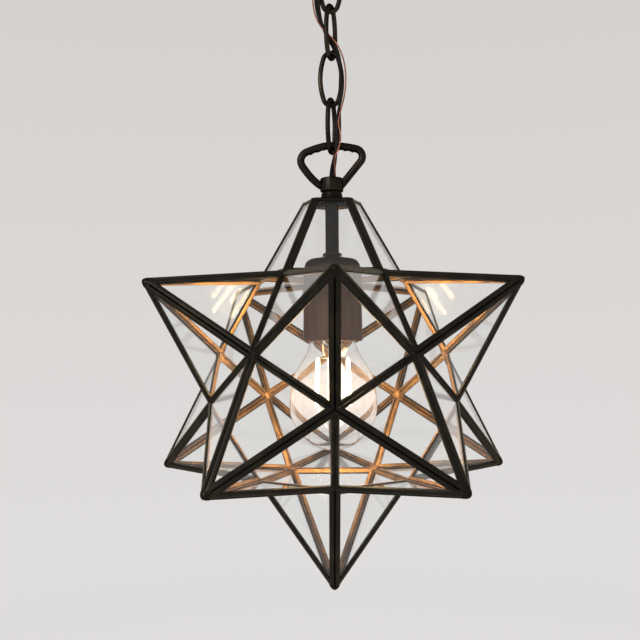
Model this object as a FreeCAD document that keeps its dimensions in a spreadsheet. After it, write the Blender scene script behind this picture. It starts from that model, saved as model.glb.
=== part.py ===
"""Moravian star pendant: a glazed twelve-point star that hangs by a chain under a ceiling canopy.

Lengths are in millimetres. The origin is the middle of the canopy on the ceiling, +Z points up,
and the front of the star faces -Y.
"""

import FreeCAD, Part

import math
import os

import Sketcher
from FreeCAD import Placement, Rotation, Vector

UP = Vector(0, 0, 1)
ACROSS = Vector(0, 1, 0)
BEYOND = 2000.0

# ---------------------------------------------------------------------------------------------
# Driving dimensions: alias, value, meaning
# ---------------------------------------------------------------------------------------------
SIZES = [
    ("tip_radius", 155.0, "star centre to the sharp tip of a point, on the middle of the glass"),
    ("core_radius", 93.0, "star centre to a corner where three points meet"),
    ("came_depth", 3.4, "thickness of the came channel, across the glass"),
    ("ridge_strip", 4.0, "face width of a came along a ridge"),
    ("valley_strip", 3.3, "face width of a came along a valley"),
    ("ridge_groove", 0.9, "half the groove left open between two cames on a ridge"),
    ("glass_thick", 2.0, "pane thickness"),
    ("glass_seat", 1.8, "depth of a pane's edge inside its came"),
    ("tip_cut", 7.5, "how far the cames stop short of the sharp tip"),
    ("tip_short", 1.2, "how far the solder tip stops short of the sharp tip"),
    ("tip_blunt", 1.7, "corner radius of the blunt end of a solder tip"),
    ("crown_cut", 25.0, "length cut off the top point, from its sharp tip to its flat rim"),
    ("crown_strip", 2.6, "width of the short came along the rim of the top point"),
    ("door_gap", 0.3, "clearance round the hinged point"),
    ("knuckle_rise", 2.4, "hinge axis above the valley line"),
    ("knuckle_rad", 1.4, "hinge knuckle radius"),
    ("pin_rad", 0.6, "hinge pin radius"),
    ("pin_fit", 0.05, "running clearance of the pin in the moving knuckle"),
    ("leaf_long", 9.0, "length of one hinge leaf"),
    ("leaf_wide", 2.6, "width of a hinge leaf on the came"),
    ("leaf_thick", 0.5, "hinge leaf thickness"),
    ("leaf_gap", 0.4, "end clearance between two knuckles"),
    ("plate_inset", 1.4, "corners of the five-sided cap plate inside the ridges' outer edges"),
    ("plate_thick", 3.2, "cap plate thickness"),
    ("plate_edge", 0.9, "chamfer on the upper edge of the cap plate"),
    ("collar_rad", 8.3, "radius of the ring under a loop"),
    ("collar_high", 2.8, "height of the ring under a loop"),
    ("collar_round", 0.5, "bulge of the ring's rim"),
    ("neck_rad", 7.0, "radius of the groove between ring and hub"),
    ("neck_high", 0.9, "height of the groove between ring and hub"),
    ("hub_rad", 8.6, "radius of the loop's hub"),
    ("hub_high", 11.8, "height of the loop's hub"),
    ("hub_edge", 0.8, "chamfer on the hub"),
    ("hub_bore", 4.6, "radius of the wire way through a hub"),
    ("loop_wide", 51.4, "width of the loop over its bar"),
    ("loop_high", 37.6, "loop top above the foot of its hub"),
    ("loop_bar", 2.8, "radius of the loop's round bar"),
    ("loop_arch", 75.0, "radius of the arch of the loop's top bar, on its middle line"),
    ("loop_corner", 6.0, "corner radius of the loop, on its middle line"),
    ("loop_foot", 6.2, "where a loop leg enters its hub, from the axis"),
    ("loop_foot_high", 6.4, "where a loop leg enters its hub, from the hub's foot"),
    ("link_high", 43.0, "chain link height over the wire"),
    ("link_wide", 19.4, "chain link width over the wire"),
    ("link_wire", 1.85, "chain link wire radius"),
    ("link_taper", 1.35, "how much tighter a link's end curve is than half its width"),
    ("link_play", 0.3, "clearance where two links touch"),
    ("link_turn_low", 20.0, "turn of the lowest link from square, in degrees"),
    ("link_turn_high", 25.0, "turn of the third link from square, in degrees"),
    ("tube_rad", 4.95, "threaded tube radius"),
    ("tube_bore", 3.6, "threaded tube bore radius"),
    ("tube_fit", 0.05, "clearance round the threaded tube"),
    ("tube_end", 0.4, "upper end of the ceiling tube, under the ceiling"),
    ("nut_rad", 8.3, "corner radius of a lock nut"),
    ("nut_high", 3.6, "lock nut height"),
    ("cup_top", 89.6, "star centre to the top of the socket cup"),
    ("cup_high", 62.6, "socket cup height"),
    ("cup_top_rad", 20.6, "socket cup radius under the shoulder"),
    ("cup_low_rad", 21.6, "socket cup radius at its open rim"),
    ("cup_shoulder", 6.5, "shoulder radius of the socket cup"),
    ("cup_wall", 1.0, "socket cup wall"),
    ("washer_rad", 7.3, "radius of the washer on the socket cup"),
    ("washer_high", 1.6, "thickness of the washer on the socket cup"),
    ("washer_edge", 0.6, "chamfer of the washer"),
    ("core_fit", 2.0, "clearance of the socket's insulating core in the cup"),
    ("core_seat", 0.3, "clearance between the core and the nut in the socket cup"),
    ("core_hole", 3.0, "radius of the wire hole in the core"),
    ("shell_hole", 6.6, "radius of the hole in the end of the screw shell"),
    ("shell_rim", 2.0, "mouth of the screw shell above the end of the lamp's glass"),
    ("shell_wall", 0.5, "wall of the screw shell and of the lamp base"),
    ("shell_play", 0.35, "clearance of the lamp base in the screw shell"),
    ("base_rad", 13.0, "lamp base radius"),
    ("base_high", 21.0, "lamp base height"),
    ("base_shoulder", 3.0, "height of the lamp base's sloping shoulder"),
    ("base_end", 9.5, "radius of the lamp base's open end"),
    ("insulator_round", 8.0, "radius of the insulator's top face"),
    ("insulator_rise", 0.6, "height of the insulator over the lamp base"),
    ("contact_flat", 3.0, "radius of the flat of the lamp contact"),
    ("contact_rad", 4.6, "lamp contact radius"),
    ("contact_high", 1.6, "lamp contact height"),
    ("bulb_rad", 32.5, "widest radius of the bulb"),
    ("bulb_wide_at", -16.0, "height of the widest part of the bulb from the star centre"),
    ("bulb_low", -51.6, "lowest point of the bulb from the star centre"),
    ("bulb_neck_rad", 15.9, "bulb neck radius where it starts to narrow to the lamp base"),
    ("bulb_neck_at", 35.0, "top of the glass bulb, on the lamp base, from the star centre"),
    ("bulb_fold", 5.0, "height over which the bulb's neck narrows to the lamp base"),
    ("bulb_wall", 0.8, "bulb glass thickness"),
    ("stem_skirt", 1.2, "thickness of the glass stem's foot"),
    ("stem_flare", 12.0, "height over which the glass stem widens to its foot"),
    ("stem_fit", 0.3, "clearance of the glass stem's foot in the bulb's neck"),
    ("stem_rad", 3.2, "radius of the glass stem inside the bulb"),
    ("stem_tip_at", 4.0, "lower end of the glass stem from the star centre"),
    ("filament_rad", 0.75, "light strip radius"),
    ("filament_long", 36.0, "light strip length"),
    ("filament_ring", 9.6, "distance of the light strips from the axis"),
    ("filament_lean", 7.0, "lean of the light strips, in degrees"),
    ("filament_low", -21.5, "lower end of the light strips from the star centre"),
    ("filament_turn", 12.0, "turn of the light strips from the front, in degrees"),
    ("spine_rad", 0.45, "radius of the wire down the middle of the light strips"),
    ("arm_rad", 0.4, "radius of the wires that hold the light strips"),
    ("arm_drop", 0.8, "lower wires below the ends of the light strips"),
    ("arm_bite", 0.6, "how far the upper wires reach over the light strips"),
    ("canopy_rad", 63.5, "canopy radius"),
    ("canopy_high", 25.0, "canopy depth under the ceiling"),
    ("canopy_flat", 15.0, "radius of the canopy's flat middle"),
    ("canopy_lip", 4.0, "height of the canopy's straight rim"),
    ("canopy_wall", 1.2, "canopy wall"),
    ("strap_long", 104.0, "mounting strap length"),
    ("strap_wide", 18.0, "mounting strap width"),
    ("strap_thick", 2.4, "mounting strap thickness"),
    ("slot_end", 2.2, "strap left beyond the outer end of a slot"),
    ("slot_long", 17.0, "strap slot length over its ends"),
    ("slot_rad", 2.4, "half the strap slot width"),
    ("flex_rad", 2.0, "lamp flex radius"),
    ("earth_rad", 0.55, "bare earth wire radius"),
    ("flex_side", 0.45, "distance of the flex from the axis inside the tubes"),
    ("flex_end", 3.6, "lower end of the flex under the top of the socket cup"),
    ("wire_play", 0.65, "clearance between the flex and the earth wire"),
    ("lead_gap", 0.45, "gap between a wire's straight start and its first length"),
    ("lead_end", 1.6, "upper end of the flex in the ceiling tube, under the ceiling"),
]

# Middle line of the lamp flex from the ceiling tube down into the hub of the star's loop: x, y,
# height above the hub's foot, and the side of the flex on which the bare earth wire runs, in
# degrees. The flex is woven: left of the top link, through the third link, down the right of the
# second and past the front of the loop's bar. It ends with a straight run down to the socket.
FLEX_ROUTE = [
    (0.45, 0.0, 201.1, 180.0),
    (-0.4, -0.6, 190.6, -170.0),
    (-5.9, -4.9, 177.1, -140.0),
    (-8.1, -4.4, 163.1, -165.0),
    (-10.6, -4.3, 146.6, 173.0),
    (-9.0, -1.8, 133.1, -162.0),
    (-5.4, -0.4, 122.6, -120.0),
    (0.6, -1.3, 112.6, -52.0),
    (5.0, -4.6, 103.1, -32.0),
    (7.9, -4.4, 91.1, -11.0),
    (7.6, -4.4, 75.1, -8.0),
    (6.0, -4.6, 63.1, -53.0),
    (5.2, -3.6, 51.1, -101.0),
    (5.3, -5.0, 41.6, -59.0),
    (3.4, -6.6, 33.1, -32.0),
    (2.4, -5.0, 24.6, -100.0),
    (0.6, -1.2, 16.1, -50.0),
    (-0.45, 0.0, 4.1, 0.0),
]
# The flex and its wire are in five lengths, one across each joint of the chain: the runs of the
# route that are cut at their middle.
FLEX_CUTS = [3, 6, 9, 12]

# A point has five sides, and a fifth of a turn lies between two of them.
FIFTH = 360.0 / 5.0
HALF_FIFTH = FIFTH / 2.0
# The star's points: name, angle of the tip from +Z, azimuth of the tip, turn about its own axis.
RING_ANGLE = math.degrees(math.atan(2.0))
STAR_POINTS = [("top", 0.0, 90.0, 0.0)]
UPPER_NAMES = ["upper_front", "upper_right", "upper_right_back", "upper_left_back", "upper_left"]
LOWER_NAMES = ["lower_left_front", "hinged", "lower_right", "lower_back", "lower_left"]
STAR_POINTS += [(UPPER_NAMES[i], RING_ANGLE, -90.0 + FIFTH * i, 0.0) for i in range(5)]
STAR_POINTS += [(LOWER_NAMES[i], 180.0 - RING_ANGLE, -90.0 - HALF_FIFTH + FIFTH * i, 180.0)
                for i in range(5)]
STAR_POINTS += [("bottom", 180.0, 90.0, 0.0)]

document = FreeCAD.newDocument("moravian_star")
sheet = document.addObject("Spreadsheet::Sheet", "Sizes")
for row, (alias, value, meaning) in enumerate(SIZES, start=1):
    sheet.set("A%d" % row, str(value))
    sheet.setAlias("A%d" % row, alias)
    sheet.set("B%d" % row, meaning)
document.recompute()


class Size:
    """A size that carries its number and the expression that ties it to the sheet."""

    def __init__(self, text, value):
        self.text = text
        self.value = value

    def joined(self, other, sign, value):
        other_text = other.text if isinstance(other, Size) else repr(float(other))
        return Size("(%s %s %s)" % (self.text, sign, other_text), value)

    def __add__(self, other):
        return self.joined(other, "+", self.value + number(other))

    def __sub__(self, other):
        return self.joined(other, "-", self.value - number(other))

    def __mul__(self, other):
        return self.joined(other, "*", self.value * number(other))

    def __truediv__(self, other):
        return self.joined(other, "/", self.value / number(other))

    def __neg__(self):
        return Size("(-1 * %s)" % self.text, -self.value)


def number(size):
    """The plain number of a size."""
    return size.value if isinstance(size, Size) else float(size)


def of(alias):
    """A driving dimension from the sheet."""
    return Size("Sizes.%s" % alias, float(getattr(sheet, alias)))


def mm(alias):
    """A driving dimension from the sheet as a plain number."""
    return float(getattr(sheet, alias))


def bind(thing, prop, size):
    """Ties a property to an expression of the sheet."""
    if isinstance(size, Size):
        thing.setExpression(prop, size.text)
    else:
        setattr(thing, prop, size)


parts = []


def keep(thing, label, height=None, turn=0.0):
    """Names a finished sub-part and lifts it to its height on the lamp's axis."""
    thing.Label = label
    thing.Placement = Placement(Vector(0, 0, 0), Rotation(UP, turn))
    if height is not None:
        thing.Placement.Base = Vector(0, 0, number(height))
        thing.setExpression(".Placement.Base.z", height.text)
    parts.append(thing)
    return thing


def origin_plane(body, role):
    """One of the body's own origin planes."""
    return [item for item in body.Origin.OriginFeatures if item.Role == role][0]


def pin_point(sketch, geometry, end, spot):
    """Holds one sketch point at two sizes measured from the sketch's origin."""
    for kind, size in (("DistanceX", spot[0]), ("DistanceY", spot[1])):
        if isinstance(size, Size):
            index = sketch.addConstraint(
                Sketcher.Constraint(kind, -1, 1, geometry, end, size.value))
            sketch.setExpression("Constraints[%d]" % index, size.text)
        elif size == 0:
            axis = -2 if kind == "DistanceX" else -1
            sketch.addConstraint(Sketcher.Constraint("PointOnObject", geometry, end, axis))
        else:
            sketch.addConstraint(Sketcher.Constraint(kind, -1, 1, geometry, end, float(size)))


def outline(body, name, role, spots):
    """A closed sketch through spots (across, up), each held by expressions of the sheet.

    A spot with a third entry ends an arc, and that entry is a point the arc passes through.
    """
    sketch = body.newObject("Sketcher::SketchObject", name)
    sketch.AttachmentSupport = [(origin_plane(body, role), "")]
    sketch.MapMode = "FlatFace"
    flat = [Vector(number(spot[0]), number(spot[1]), 0) for spot in spots]
    for index, spot in enumerate(spots):
        before = flat[index - 1]
        if len(spot) == 3:
            middle = Vector(number(spot[2][0]), number(spot[2][1]), 0)
            sketch.addGeometry(Part.Arc(before, middle, flat[index]), False)
        else:
            sketch.addGeometry(Part.LineSegment(before, flat[index]), False)
    count = len(spots)
    ends = [arc_ends(sketch, index, flat[index]) for index in range(count)]
    for index, spot in enumerate(spots):
        following = (index + 1) % count
        sketch.addConstraint(Sketcher.Constraint(
            "Coincident", index, ends[index][1], following, ends[following][0]))
        pin_point(sketch, index, ends[index][1], spot)
    for index, spot in enumerate(spots):
        if len(spot) == 3:
            middle = Vector(number(spot[2][0]), number(spot[2][1]), 0)
            helper = sketch.addGeometry(Part.Point(middle), True)
            pin_point(sketch, helper, 1, spot[2])
            sketch.addConstraint(Sketcher.Constraint("PointOnObject", helper, 1, index))
    return sketch


def arc_ends(sketch, index, last):
    """Which ends of a sketch edge are its first and last: a clockwise arc is stored reversed."""
    if (sketch.getPoint(index, 2) - last).Length < (sketch.getPoint(index, 1) - last).Length:
        return (1, 2)
    return (2, 1)


def revolved(label, spots, height=None):
    """A turned piece: its outline (radius, height) about the lamp's axis."""
    body = document.addObject("PartDesign::Body", label + "_body")
    sketch = outline(body, label + "_profile", "XZ_Plane", spots)
    turning = body.newObject("PartDesign::Revolution", label + "_turning")
    turning.Profile = sketch
    turning.ReferenceAxis = (sketch, ["V_Axis"])
    turning.Angle = 360.0
    document.recompute()
    return keep(body, label, height)


def drilled_prism(label, corner, high, bore, height):
    """A six-sided nut with a round bore."""
    blank = document.addObject("Part::Prism", label + "_blank")
    blank.Polygon = 6
    bind(blank, "Circumradius", corner)
    bind(blank, "Height", high)
    hole = document.addObject("Part::Cylinder", label + "_hole")
    bind(hole, "Radius", bore)
    bind(hole, "Height", high)
    nut = document.addObject("Part::Cut", label + "_cut")
    nut.Base = blank
    nut.Tool = hole
    return keep(nut, label, height)


def shaped(label, shape):
    """A sub-part whose shape is made with Part's own functions."""
    feature = document.addObject("Part::Feature", label + "_shape")
    feature.Shape = shape
    feature.Label = label
    parts.append(feature)
    return feature


# ---------------------------------------------------------------------------------------------
# Heights down the lamp's axis
# ---------------------------------------------------------------------------------------------
ceiling_hub = -(of("canopy_high") + of("collar_high") + of("neck_high"))
ceiling_bar = ceiling_hub - of("loop_high") + of("loop_bar") * 2.0
link_pitch = of("link_high") - of("link_wire") * 4.0 - of("link_play")
top_link = ceiling_bar + of("link_play") + of("link_wire") * 2.0 - of("link_high") / 2.0
low_link = top_link - link_pitch * 3.0
star_bar = low_link - of("link_high") / 2.0 + of("link_wire") * 2.0 + of("link_play")
star_hub = star_bar + of("loop_bar") * 2.0 - of("loop_high")
crown = star_hub - of("neck_high") - of("collar_high") - of("plate_thick")
crown_height = of("tip_radius") - of("crown_cut")
star_centre = crown - crown_height
CENTRE = Vector(0, 0, number(star_centre))


# ---------------------------------------------------------------------------------------------
# Ceiling fitting
# ---------------------------------------------------------------------------------------------
def canopy():
    """Spun dome with a straight rim, a flat middle and a hole for the threaded tube."""
    wall = of("canopy_wall")
    rad, high, lip, flat = of("canopy_rad"), of("canopy_high"), of("canopy_lip"), of("canopy_flat")
    bulge = (rad * 0.86, -(lip + (high - lip) * 0.56))
    inner_bulge = (bulge[0] - wall * 0.75, bulge[1] + wall * 0.75)
    hole = of("tube_rad") + of("tube_fit")
    revolved("canopy", [
        (hole, -(high - wall)),
        (hole, -high),
        (flat, -high),
        (rad, -lip, bulge),
        (rad, 0.0),
        (rad - wall, 0.0),
        (rad - wall, -lip),
        (flat, -(high - wall), inner_bulge),
    ])


def strap():
    """Flat mounting strap under the ceiling with two screw slots and a hole for the tube."""
    bar = document.addObject("Part::Box", "strap_bar")
    bind(bar, "Length", of("strap_long"))
    bind(bar, "Width", of("strap_wide"))
    bind(bar, "Height", of("strap_thick"))
    bar.setExpression(".Placement.Base.x", (-of("strap_long") / 2.0).text)
    bar.setExpression(".Placement.Base.y", (-of("strap_wide") / 2.0).text)
    bar.setExpression(".Placement.Base.z", (-of("strap_thick")).text)
    cuts = [strap_hole("centre", of("tube_rad") + of("tube_fit"), None)]
    for side, sign in (("left", -1.0), ("right", 1.0)):
        middle = (of("strap_long") / 2.0 - of("slot_end") - of("slot_long") / 2.0) * sign
        reach = of("slot_long") / 2.0 - of("slot_rad")
        cuts.append(strap_hole(side + "_inner", of("slot_rad"), middle - reach))
        cuts.append(strap_hole(side + "_outer", of("slot_rad"), middle + reach))
        slot = document.addObject("Part::Box", "strap_slot_" + side)
        bind(slot, "Length", reach * 2.0)
        bind(slot, "Width", of("slot_rad") * 2.0)
        bind(slot, "Height", of("strap_thick"))
        slot.setExpression(".Placement.Base.x", (middle - reach).text)
        slot.setExpression(".Placement.Base.y", (-of("slot_rad")).text)
        slot.setExpression(".Placement.Base.z", (-of("strap_thick")).text)
        cuts.append(slot)
    openings = document.addObject("Part::MultiFuse", "strap_openings")
    openings.Shapes = cuts
    plate = document.addObject("Part::Cut", "strap_cut")
    plate.Base = bar
    plate.Tool = openings
    keep(plate, "mounting_strap")


def strap_hole(name, radius, across):
    """A round hole through the strap."""
    hole = document.addObject("Part::Cylinder", "strap_hole_" + name)
    bind(hole, "Radius", radius)
    bind(hole, "Height", of("strap_thick"))
    hole.setExpression(".Placement.Base.z", (-of("strap_thick")).text)
    if across is not None:
        hole.setExpression(".Placement.Base.x", across.text)
    return hole


def tube(label, low, high):
    """Threaded tube between two heights on the axis."""
    revolved(label, [
        (of("tube_bore"), low),
        (of("tube_rad"), low),
        (of("tube_rad"), high),
        (of("tube_bore"), high),
    ])


def collar(label, foot):
    """Ring with rounded rim that clamps a plate or canopy against a loop."""
    rad, high = of("collar_rad"), of("collar_high")
    hole = of("tube_rad") + of("tube_fit")
    revolved(label, [
        (hole, high),
        (hole, 0.0),
        (rad - of("collar_round"), 0.0),
        (rad - of("collar_round"), high, (rad, high / 2.0)),
    ], foot)


def loop(label, hub_foot, upright, turn):
    """Cast loop: a hub with a wire way and a rounded three-cornered bar.

    It stands on its hub, or hangs from it where upright is false.
    """
    edge, hub, bore = mm("hub_edge"), mm("hub_rad"), mm("hub_bore")
    neck, neck_high, hub_high = mm("neck_rad"), mm("neck_high"), mm("hub_high")
    tube_high = hub_high / 2.0
    seat = mm("tube_rad") + mm("tube_fit")
    profile = [
        (seat, -neck_high), (neck, -neck_high), (neck, 0.0), (hub - edge, 0.0), (hub, edge),
        (hub, hub_high - edge), (hub - edge, hub_high), (bore, hub_high), (bore, tube_high),
        (seat, tube_high),
    ]
    wire = Part.makePolygon([Vector(r, 0, z) for r, z in profile + profile[:1]])
    cast = Part.Face(wire).revolve(Vector(0, 0, 0), UP, 360)
    bar = loop_bar()
    core = Part.makeCylinder(bore, hub_high * 2, Vector(0, 0, -neck_high))
    inner = Part.makeCylinder(seat, tube_high + neck_high, Vector(0, 0, -neck_high))
    cast = cast.fuse(bar.cut(core).cut(inner)).removeSplitter()
    flip = Rotation() if upright else Rotation(Vector(1, 0, 0), 180)
    feature = shaped(label, cast)
    feature.Placement = Placement(Vector(0, 0, number(hub_foot)), Rotation(UP, turn) * flip)


def loop_bar():
    """Round bar of a loop: two legs, two corners and an arched top, in the XZ plane."""
    half = mm("loop_wide") / 2.0 - mm("loop_bar")
    top = mm("loop_high") - mm("loop_bar")
    arch, corner = mm("loop_arch"), mm("loop_corner")
    centre_x = half - corner
    centre_z = top - arch + math.sqrt((arch - corner) ** 2 - centre_x ** 2)
    lean = math.atan2(centre_z - top + arch, centre_x)
    join = Vector(arch * math.cos(lean), 0, top - arch + arch * math.sin(lean))
    foot = Vector(mm("loop_foot"), 0, mm("loop_foot_high"))
    reach = math.hypot(centre_x - foot.x, centre_z - foot.z)
    slope = math.atan2(centre_z - foot.z, centre_x - foot.x) - math.asin(corner / reach)
    leg = math.sqrt(reach ** 2 - corner ** 2)
    touch = foot + Vector(leg * math.cos(slope), 0, leg * math.sin(slope))
    middle_turn = (lean + slope - math.pi / 2.0) / 2.0
    shoulder = Vector(centre_x + corner * math.cos(middle_turn), 0,
                      centre_z + corner * math.sin(middle_turn))
    crest = Vector(0, 0, top)
    path = Part.Wire([
        Part.LineSegment(foot, touch).toShape(),
        Part.Arc(touch, shoulder, join).toShape(),
        Part.Arc(join, crest, mirrored(join)).toShape(),
        Part.Arc(mirrored(join), mirrored(shoulder), mirrored(touch)).toShape(),
        Part.LineSegment(mirrored(touch), mirrored(foot)).toShape(),
    ])
    return swept(path, mm("loop_bar"))


def mirrored(spot):
    """The spot on the other side of the axis."""
    return Vector(-spot.x, spot.y, spot.z)


def swept(path, radius):
    """A round bar along a smooth path."""
    edge = path.OrderedEdges[0]
    start = edge.valueAt(edge.FirstParameter)
    along = edge.tangentAt(edge.FirstParameter)
    ring = Part.Wire(Part.makeCircle(radius, start, along))
    return path.makePipeShell([ring], True, False)


def chain_link(label, middle, turn):
    """Welded oval link of round wire, swept round its middle line."""
    body = document.addObject("PartDesign::Body", label + "_body")
    half_wide = of("link_wide") / 2.0 - of("link_wire")
    half_high = of("link_high") / 2.0 - of("link_wire")
    end = half_wide - of("link_taper")
    end_at = half_high - end
    side = (half_wide * half_wide + end_at * end_at - end * end) / ((half_wide - end) * 2.0)
    share = side / (side - end)
    join_x = (side - half_wide) * (share - 1.0)
    join_z = share * end_at
    path = outline(body, label + "_path", "XZ_Plane", [
        (join_x, join_z, (half_wide, 0.0)),
        (-join_x, join_z, (0.0, half_high)),
        (-join_x, -join_z, (-half_wide, 0.0)),
        (join_x, -join_z, (0.0, -half_high)),
    ])
    section = body.newObject("Sketcher::SketchObject", label + "_section")
    section.AttachmentSupport = [(origin_plane(body, "XY_Plane"), "")]
    section.MapMode = "FlatFace"
    section.addGeometry(Part.Circle(Vector(half_wide.value, 0, 0), UP, mm("link_wire")), False)
    pin_point(section, 0, 3, (half_wide, 0))
    radius = section.addConstraint(Sketcher.Constraint("Radius", 0, mm("link_wire")))
    section.setExpression("Constraints[%d]" % radius, "Sizes.link_wire")
    pipe = body.newObject("PartDesign::AdditivePipe", label + "_wire")
    pipe.Profile = section
    pipe.Spine = (path, [])
    document.recompute()
    keep(body, label, middle, turn)


# ---------------------------------------------------------------------------------------------
# Star: panes in came channels
# ---------------------------------------------------------------------------------------------
class PaneFrame:
    """One pane of a point, in the point's own frame, with its axis on +Z.

    The pane is centred on azimuth 0. Flat coordinates run along its foot (u) and up its slope (v),
    and depth (w) runs outwards from the middle of the glass.
    """

    def __init__(self):
        face_angle = math.acos(math.sqrt((5.0 + 2.0 * math.sqrt(5.0)) / 15.0))
        self.base = mm("core_radius") * math.cos(face_angle)
        corner = mm("core_radius") * math.sin(face_angle)
        self.apothem = corner * math.cos(math.radians(HALF_FIFTH))
        self.half = corner * math.sin(math.radians(HALF_FIFTH))
        self.rise = mm("tip_radius") - self.base
        self.slant = math.hypot(self.apothem, self.rise)
        self.foot = Vector(self.apothem, 0, self.base)
        self.up = Vector(-self.apothem, 0, self.rise) * (1.0 / self.slant)
        self.out = Vector(self.rise, 0, self.apothem) * (1.0 / self.slant)
        self.ridge_cot = self.cotangent()
        self.valley_cot = self.valley()

    def cotangent(self):
        """In-plane step of the ridge's mitre plane for one unit of depth."""
        ridge = Vector(self.up.x * self.slant, -self.half, self.up.z * self.slant)
        inward = ridge.cross(self.out)
        inward.normalize()
        turn = math.radians(HALF_FIFTH)
        wall = Vector(-math.sin(turn), math.cos(turn), 0)
        return -wall.dot(self.out) / wall.dot(inward)

    def valley(self):
        """In-plane step of the valley's mitre plane for one unit of depth."""
        wall = Vector(self.base, 0, -self.apothem)
        return -wall.dot(self.out) / wall.dot(self.up)

    def spot(self, u, v, w):
        """A point from flat coordinates and depth."""
        return self.foot + ACROSS * u + self.up * v + self.out * w

    def edge_lines(self, valley, ridge):
        """The foot and the two ridges as lines (point, direction), moved inwards."""
        slope = Vector(-self.half, self.slant, 0)
        slope.normalize()
        inward = Vector(-slope.y, slope.x, 0)
        right = Vector(self.half, 0, 0) + inward * ridge
        left = Vector(-right.x, right.y, 0)
        return [
            (Vector(0, valley, 0), Vector(1, 0, 0)),
            (right, slope),
            (left, Vector(-slope.x, slope.y, 0)),
        ]

    def corners(self, valley, ridge):
        """Corners (right foot, apex, left foot) of the outline moved inwards."""
        foot, right, left = self.edge_lines(valley, ridge)
        return [crossing(foot, right), crossing(right, left), crossing(left, foot)]

    def mitres(self):
        """Lines on which two strips meet at each corner."""
        outer = self.corners(0.0, 0.0)
        inner = self.corners(mm("valley_strip"), mm("ridge_strip"))
        return [(outer[i], inner[i] - outer[i]) for i in range(3)]

    def strip(self, which, valley_gap):
        """One came: the strip along the foot (0), the right ridge (1) or the left ridge (2)."""
        depth = mm("came_depth") / 2.0
        mitre = self.mitres()
        ends = [(mitre[2], mitre[0]), (mitre[0], mitre[1]), (mitre[1], mitre[2])][which]
        inner = self.edge_lines(mm("valley_strip"), mm("ridge_strip"))[which]
        layers = []
        for w in (-depth, depth):
            open_side = (depth + w) / (2.0 * depth)
            ridge = -self.ridge_cot * w + mm("ridge_groove") * open_side
            valley = self.valley_cot * w + valley_gap
            outer = self.edge_lines(valley, ridge)[which]
            flat = [crossing(outer, ends[0]), crossing(outer, ends[1]),
                    crossing(inner, ends[1]), crossing(inner, ends[0])]
            layers.append([self.spot(p.x, p.y, w) for p in flat])
        return hexahedron(layers[0], layers[1])

    def cell(self, valley_gap):
        """The share of the star that this pane and its cames may fill: it meets its neighbours' shares
        on the mitre planes, or stops short of them by the gap along its foot."""
        lift = valley_gap * math.hypot(self.base, self.apothem) / self.apothem
        far = 3.0
        start = Vector(0, 0, lift)
        right = start + Vector(self.apothem, self.half, self.base) * far
        left = start + Vector(self.apothem, -self.half, self.base) * far
        top = start + Vector(0, 0, mm("tip_radius") * far)
        sides = [[start, left, right], [start, right, top], [start, top, left], [left, top, right]]
        shell = Part.Shell([Part.Face(Part.makePolygon(side + side[:1])) for side in sides])
        solid = Part.Solid(shell)
        if solid.Volume < 0:
            solid.reverse()
        return solid

    def glass(self, valley_gap):
        """The pane, whose edges reach into the channels."""
        seat = mm("glass_seat")
        flat = self.corners(mm("valley_strip") - seat + valley_gap, mm("ridge_strip") - seat)
        return self.plate(flat, mm("glass_thick"))

    def plate(self, flat, thick):
        """A flat plate centred on the middle of the glass."""
        low = [self.spot(p.x, p.y, -thick / 2.0) for p in flat]
        face = Part.Face(Part.makePolygon(low + low[:1]))
        return face.extrude(self.out * thick)


def crossing(one, two):
    """Where two flat lines (point, direction) cross."""
    (p, d), (q, e) = one, two
    share = ((q.x - p.x) * e.y - (q.y - p.y) * e.x) / (d.x * e.y - d.y * e.x)
    return p + d * share


def hexahedron(low, high):
    """A solid with two four-cornered ends and four flat sides."""
    faces = [low[::-1], high]
    faces += [[low[i], low[(i + 1) % 4], high[(i + 1) % 4], high[i]] for i in range(4)]
    shell = Part.Shell([Part.Face(Part.makePolygon(face + face[:1])) for face in faces])
    solid = Part.Solid(shell)
    if solid.Volume < 0:
        solid.reverse()
    return solid


def turned(shape, angle):
    """A copy turned about the axis of its point."""
    copy = shape.copy()
    copy.rotate(Vector(0, 0, 0), UP, angle)
    return copy


def pentagon(radius, height):
    """A five-sided outline with its first corner at azimuth 0."""
    spots = [Vector(radius * math.cos(math.radians(FIFTH * i)),
                    radius * math.sin(math.radians(FIFTH * i)), height) for i in range(5)]
    return Part.makePolygon(spots + spots[:1])


def ridge_radius(frame, height):
    """Distance of a ridge's outer edge from the axis of its point at a height."""
    corner = frame.half / math.sin(math.radians(HALF_FIFTH))
    middle = (mm("tip_radius") - height) * corner / frame.rise
    depth = mm("came_depth") / 2.0 / frame.out.x / math.cos(math.radians(HALF_FIFTH))
    return middle + depth


def point_shapes(frame, hinged, crowned):
    """Cames, panes and solder tip of one point, in its own frame."""
    gap = mm("door_gap") if hinged else 0.0
    pane = frame.glass(gap)
    cell = frame.cell(gap)
    strips = [frame.strip(which, gap).common(cell).cut(pane) for which in range(3)]
    top = number(crown_height) if crowned else mm("tip_radius") - mm("tip_cut")
    beyond = Part.makeBox(BEYOND, BEYOND, BEYOND, Vector(-BEYOND / 2.0, -BEYOND / 2.0, top))
    strips = [strip.cut(beyond) for strip in strips]
    pane = pane.cut(beyond)
    if crowned:
        strips.append(crown_strip(frame))
        pane = pane.cut(crown_clearance(frame))
    sides = [HALF_FIFTH + FIFTH * k for k in range(5)]
    cames = [turned(strip, side) for side in sides for strip in strips]
    panes = [turned(pane, side) for side in sides]
    tip = None
    if not crowned:
        low = pentagon(ridge_radius(frame, top) - mm("ridge_groove"), top)
        end = pentagon(mm("tip_blunt"), mm("tip_radius") - mm("tip_short"))
        tip = Part.makeLoft([low, end], True, True)
    return cames, panes, tip


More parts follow.
